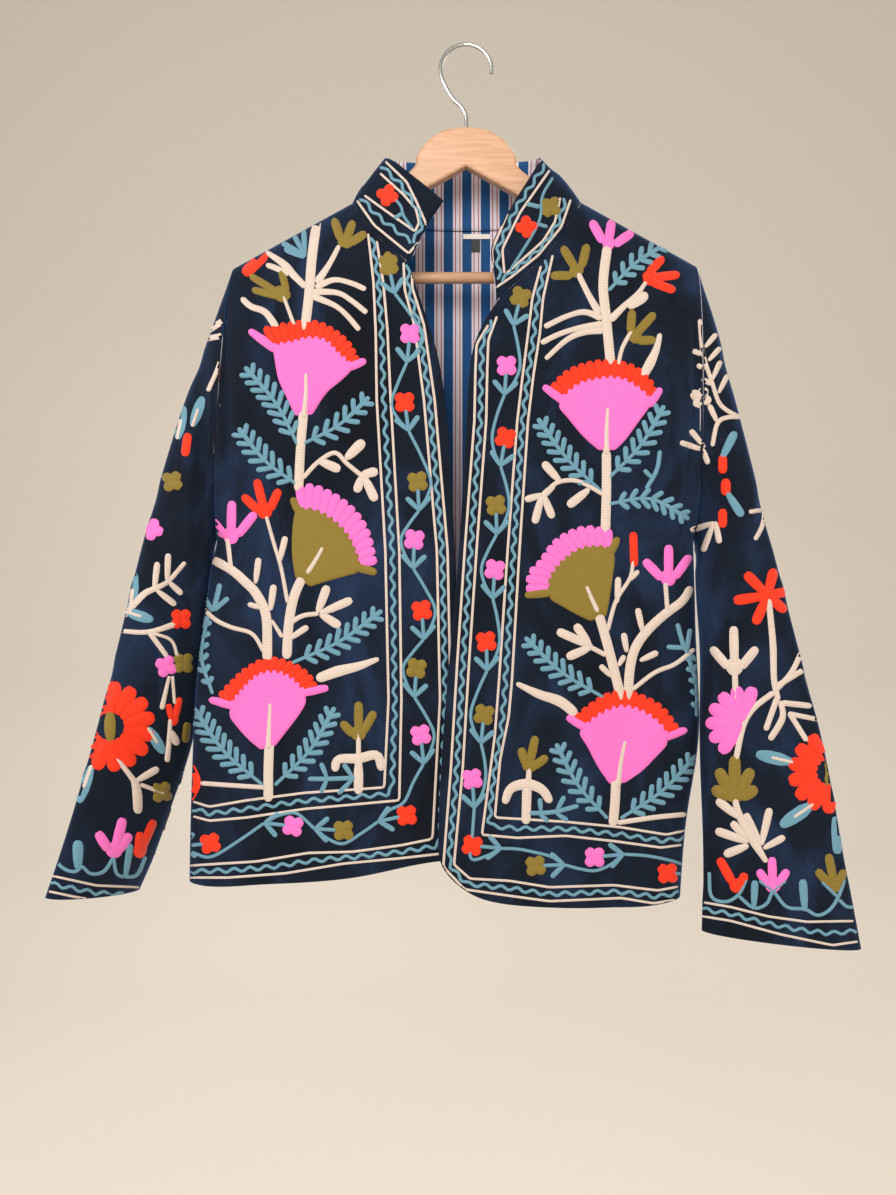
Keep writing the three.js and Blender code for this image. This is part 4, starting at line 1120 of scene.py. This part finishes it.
stitched = {
    "front_right": [(1, mainRight, {}), (1, edgeRight, {})],
    "front_left": [(1, mainLeft, {}), (1, edgeLeft, {}), (1, overArm, {"plane": -17})],
    "sleeve_right": [(1, topRight, {"plane": -21}), (1, lowRight, {"plane": -44}), (-1, topRight, {}),
                     (-1, lowRight, {})],
    "sleeve_left": [(1, topLeft, {"plane": -17}), (1, lowLeft, {"plane": -35}), (-1, topLeft, {}),
                    (-1, lowLeft, {})],
    "collar": [(1, collarFront, {"plane": -26}), (-1, collarBack, {})],
    "back": [(-1, mainRight, {}), (-1, mainLeft, {}), (-1, backEdge, {}), (-1, spray, {"shift": (130, -20)}),
             (-1, spray, {"shift": (130, -288)})],
}
stitches = {node: stitchPanel(node, layers) for node, layers in stitched.items()}

# Each sheet of cloth: its cut before it was hung, with the flat area of its curved outline, and what it hangs from
cuts = {
    "front_right": {"flat": (0.27, 0.67), "area": 0.152, "from": ["hanger_wood"]},
    "front_left": {"flat": (0.27, 0.68), "area": 0.155, "from": ["hanger_wood"]},
    "back": {"flat": (0.51, 0.68), "area": 0.325, "from": ["hanger_wood"]},
    "sleeve_right": {"flat": (0.3, 0.62), "area": 0.115, "from": ["front_right", "back"]},
    "sleeve_left": {"flat": (0.3, 0.65), "area": 0.128, "from": ["front_left", "back"]},
    "collar": {"flat": (0.5, 0.068), "area": 0.0295, "from": ["front_right", "back", "front_left"]},
    "back_lining": {"flat": (0.5, 0.65), "area": 0.293, "from": ["back"]},
    "collar_lining": {"flat": (0.48, 0.066), "area": 0.028, "from": ["collar"]},
}
for node, cut in cuts.items():
    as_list(cut["from"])


# Hanger and label
nodeMaterials = {
    "hanger_wood": woodMaterial(), "hanger_hook": steelMaterial(), "label": labelMaterial(),
}
nodeMaterials["hanger_bar"] = nodeMaterials["hanger_wood"]
for node, material in nodeMaterials.items():
    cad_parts[node].data.materials.clear()
    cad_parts[node].data.materials.append(material)
print("hanger and label finished")


# Plain pale floor and backdrop in one sweep, and soft studio light
studio = {
    "floor": -1.45, "wall": 2.1, "half": 6, "bend": 0.8, "colour": "#d8d1c8",
    "air": "#f1ece2", "airStrength": 0.75, "aim": (0, 0, -0.48),
}


def studioSweep():
    bm = bmesh.new()
    bmesh.ops.create_grid(bm, x_segments=1, y_segments=40, size=0.5)
    run = 2 * studio["half"]
    for vert in bm.verts:
        along = (vert.co.y + 0.5) * run * 2 - run
        flat = studio["wall"] - studio["bend"]
        turn = studio["bend"] * math.pi / 2
        angle = min(max(along - flat, 0), turn) / studio["bend"]
        y = min(along, flat) + studio["bend"] * math.sin(angle)
        z = studio["floor"] + studio["bend"] * (1 - math.cos(angle)) + max(along - flat - turn, 0)
        vert.co = (vert.co.x * run * 2, y, z)
    mesh = bpy.data.meshes.new("studio_sweep")
    bm.to_mesh(mesh)
    bm.free()
    sweep = bpy.data.objects.new("studio_sweep", mesh)
    bpy.context.collection.objects.link(sweep)
    material, shader = newMaterial("matt_paper", {"Base Color": toLinear(studio["colour"]), "Roughness": 0.95})
    mesh.materials.append(material)
    for polygon in mesh.polygons:
        polygon.use_smooth = True


lightColumns = ["name", "x", "y", "z", "size", "power", "colour"]
lights = table(lightColumns, [
    ("key", -0.45, -1.8, 0.25, 1.3, 32, "#fff8f0"), ("fill", 1.5, -1.2, -0.3, 1.6, 12, "#fffaf4"),
    ("left", -1.7, -0.5, -0.2, 1.4, 12, "#f2f4ff"), ("rear", 0.3, 1.7, 0.6, 1.4, 24, "#fff8f0"),
])


def softLight(light):
    data = bpy.data.lights.new(light["name"], "AREA")
    data.shape = "DISK"
    data.size = light["size"]
    data.energy = light["power"]
    data.color = toLinear(light["colour"])[:3]
    lamp = bpy.data.objects.new(light["name"], data)
    lamp.location = (light["x"], light["y"], light["z"])
    lamp.rotation_euler = (Vector(studio["aim"]) - lamp.location).to_track_quat("-Z", "Y").to_euler()
    bpy.context.collection.objects.link(lamp)


studioSweep()
for light in lights:
    softLight(light)
world = bpy.data.worlds.new("studio")
world.use_nodes = True
air = world.node_tree.nodes["Background"]
air.inputs["Color"].default_value = toLinear(studio["air"])
air.inputs["Strength"].default_value = studio["airStrength"]
bpy.context.scene.world = world
print("studio set")
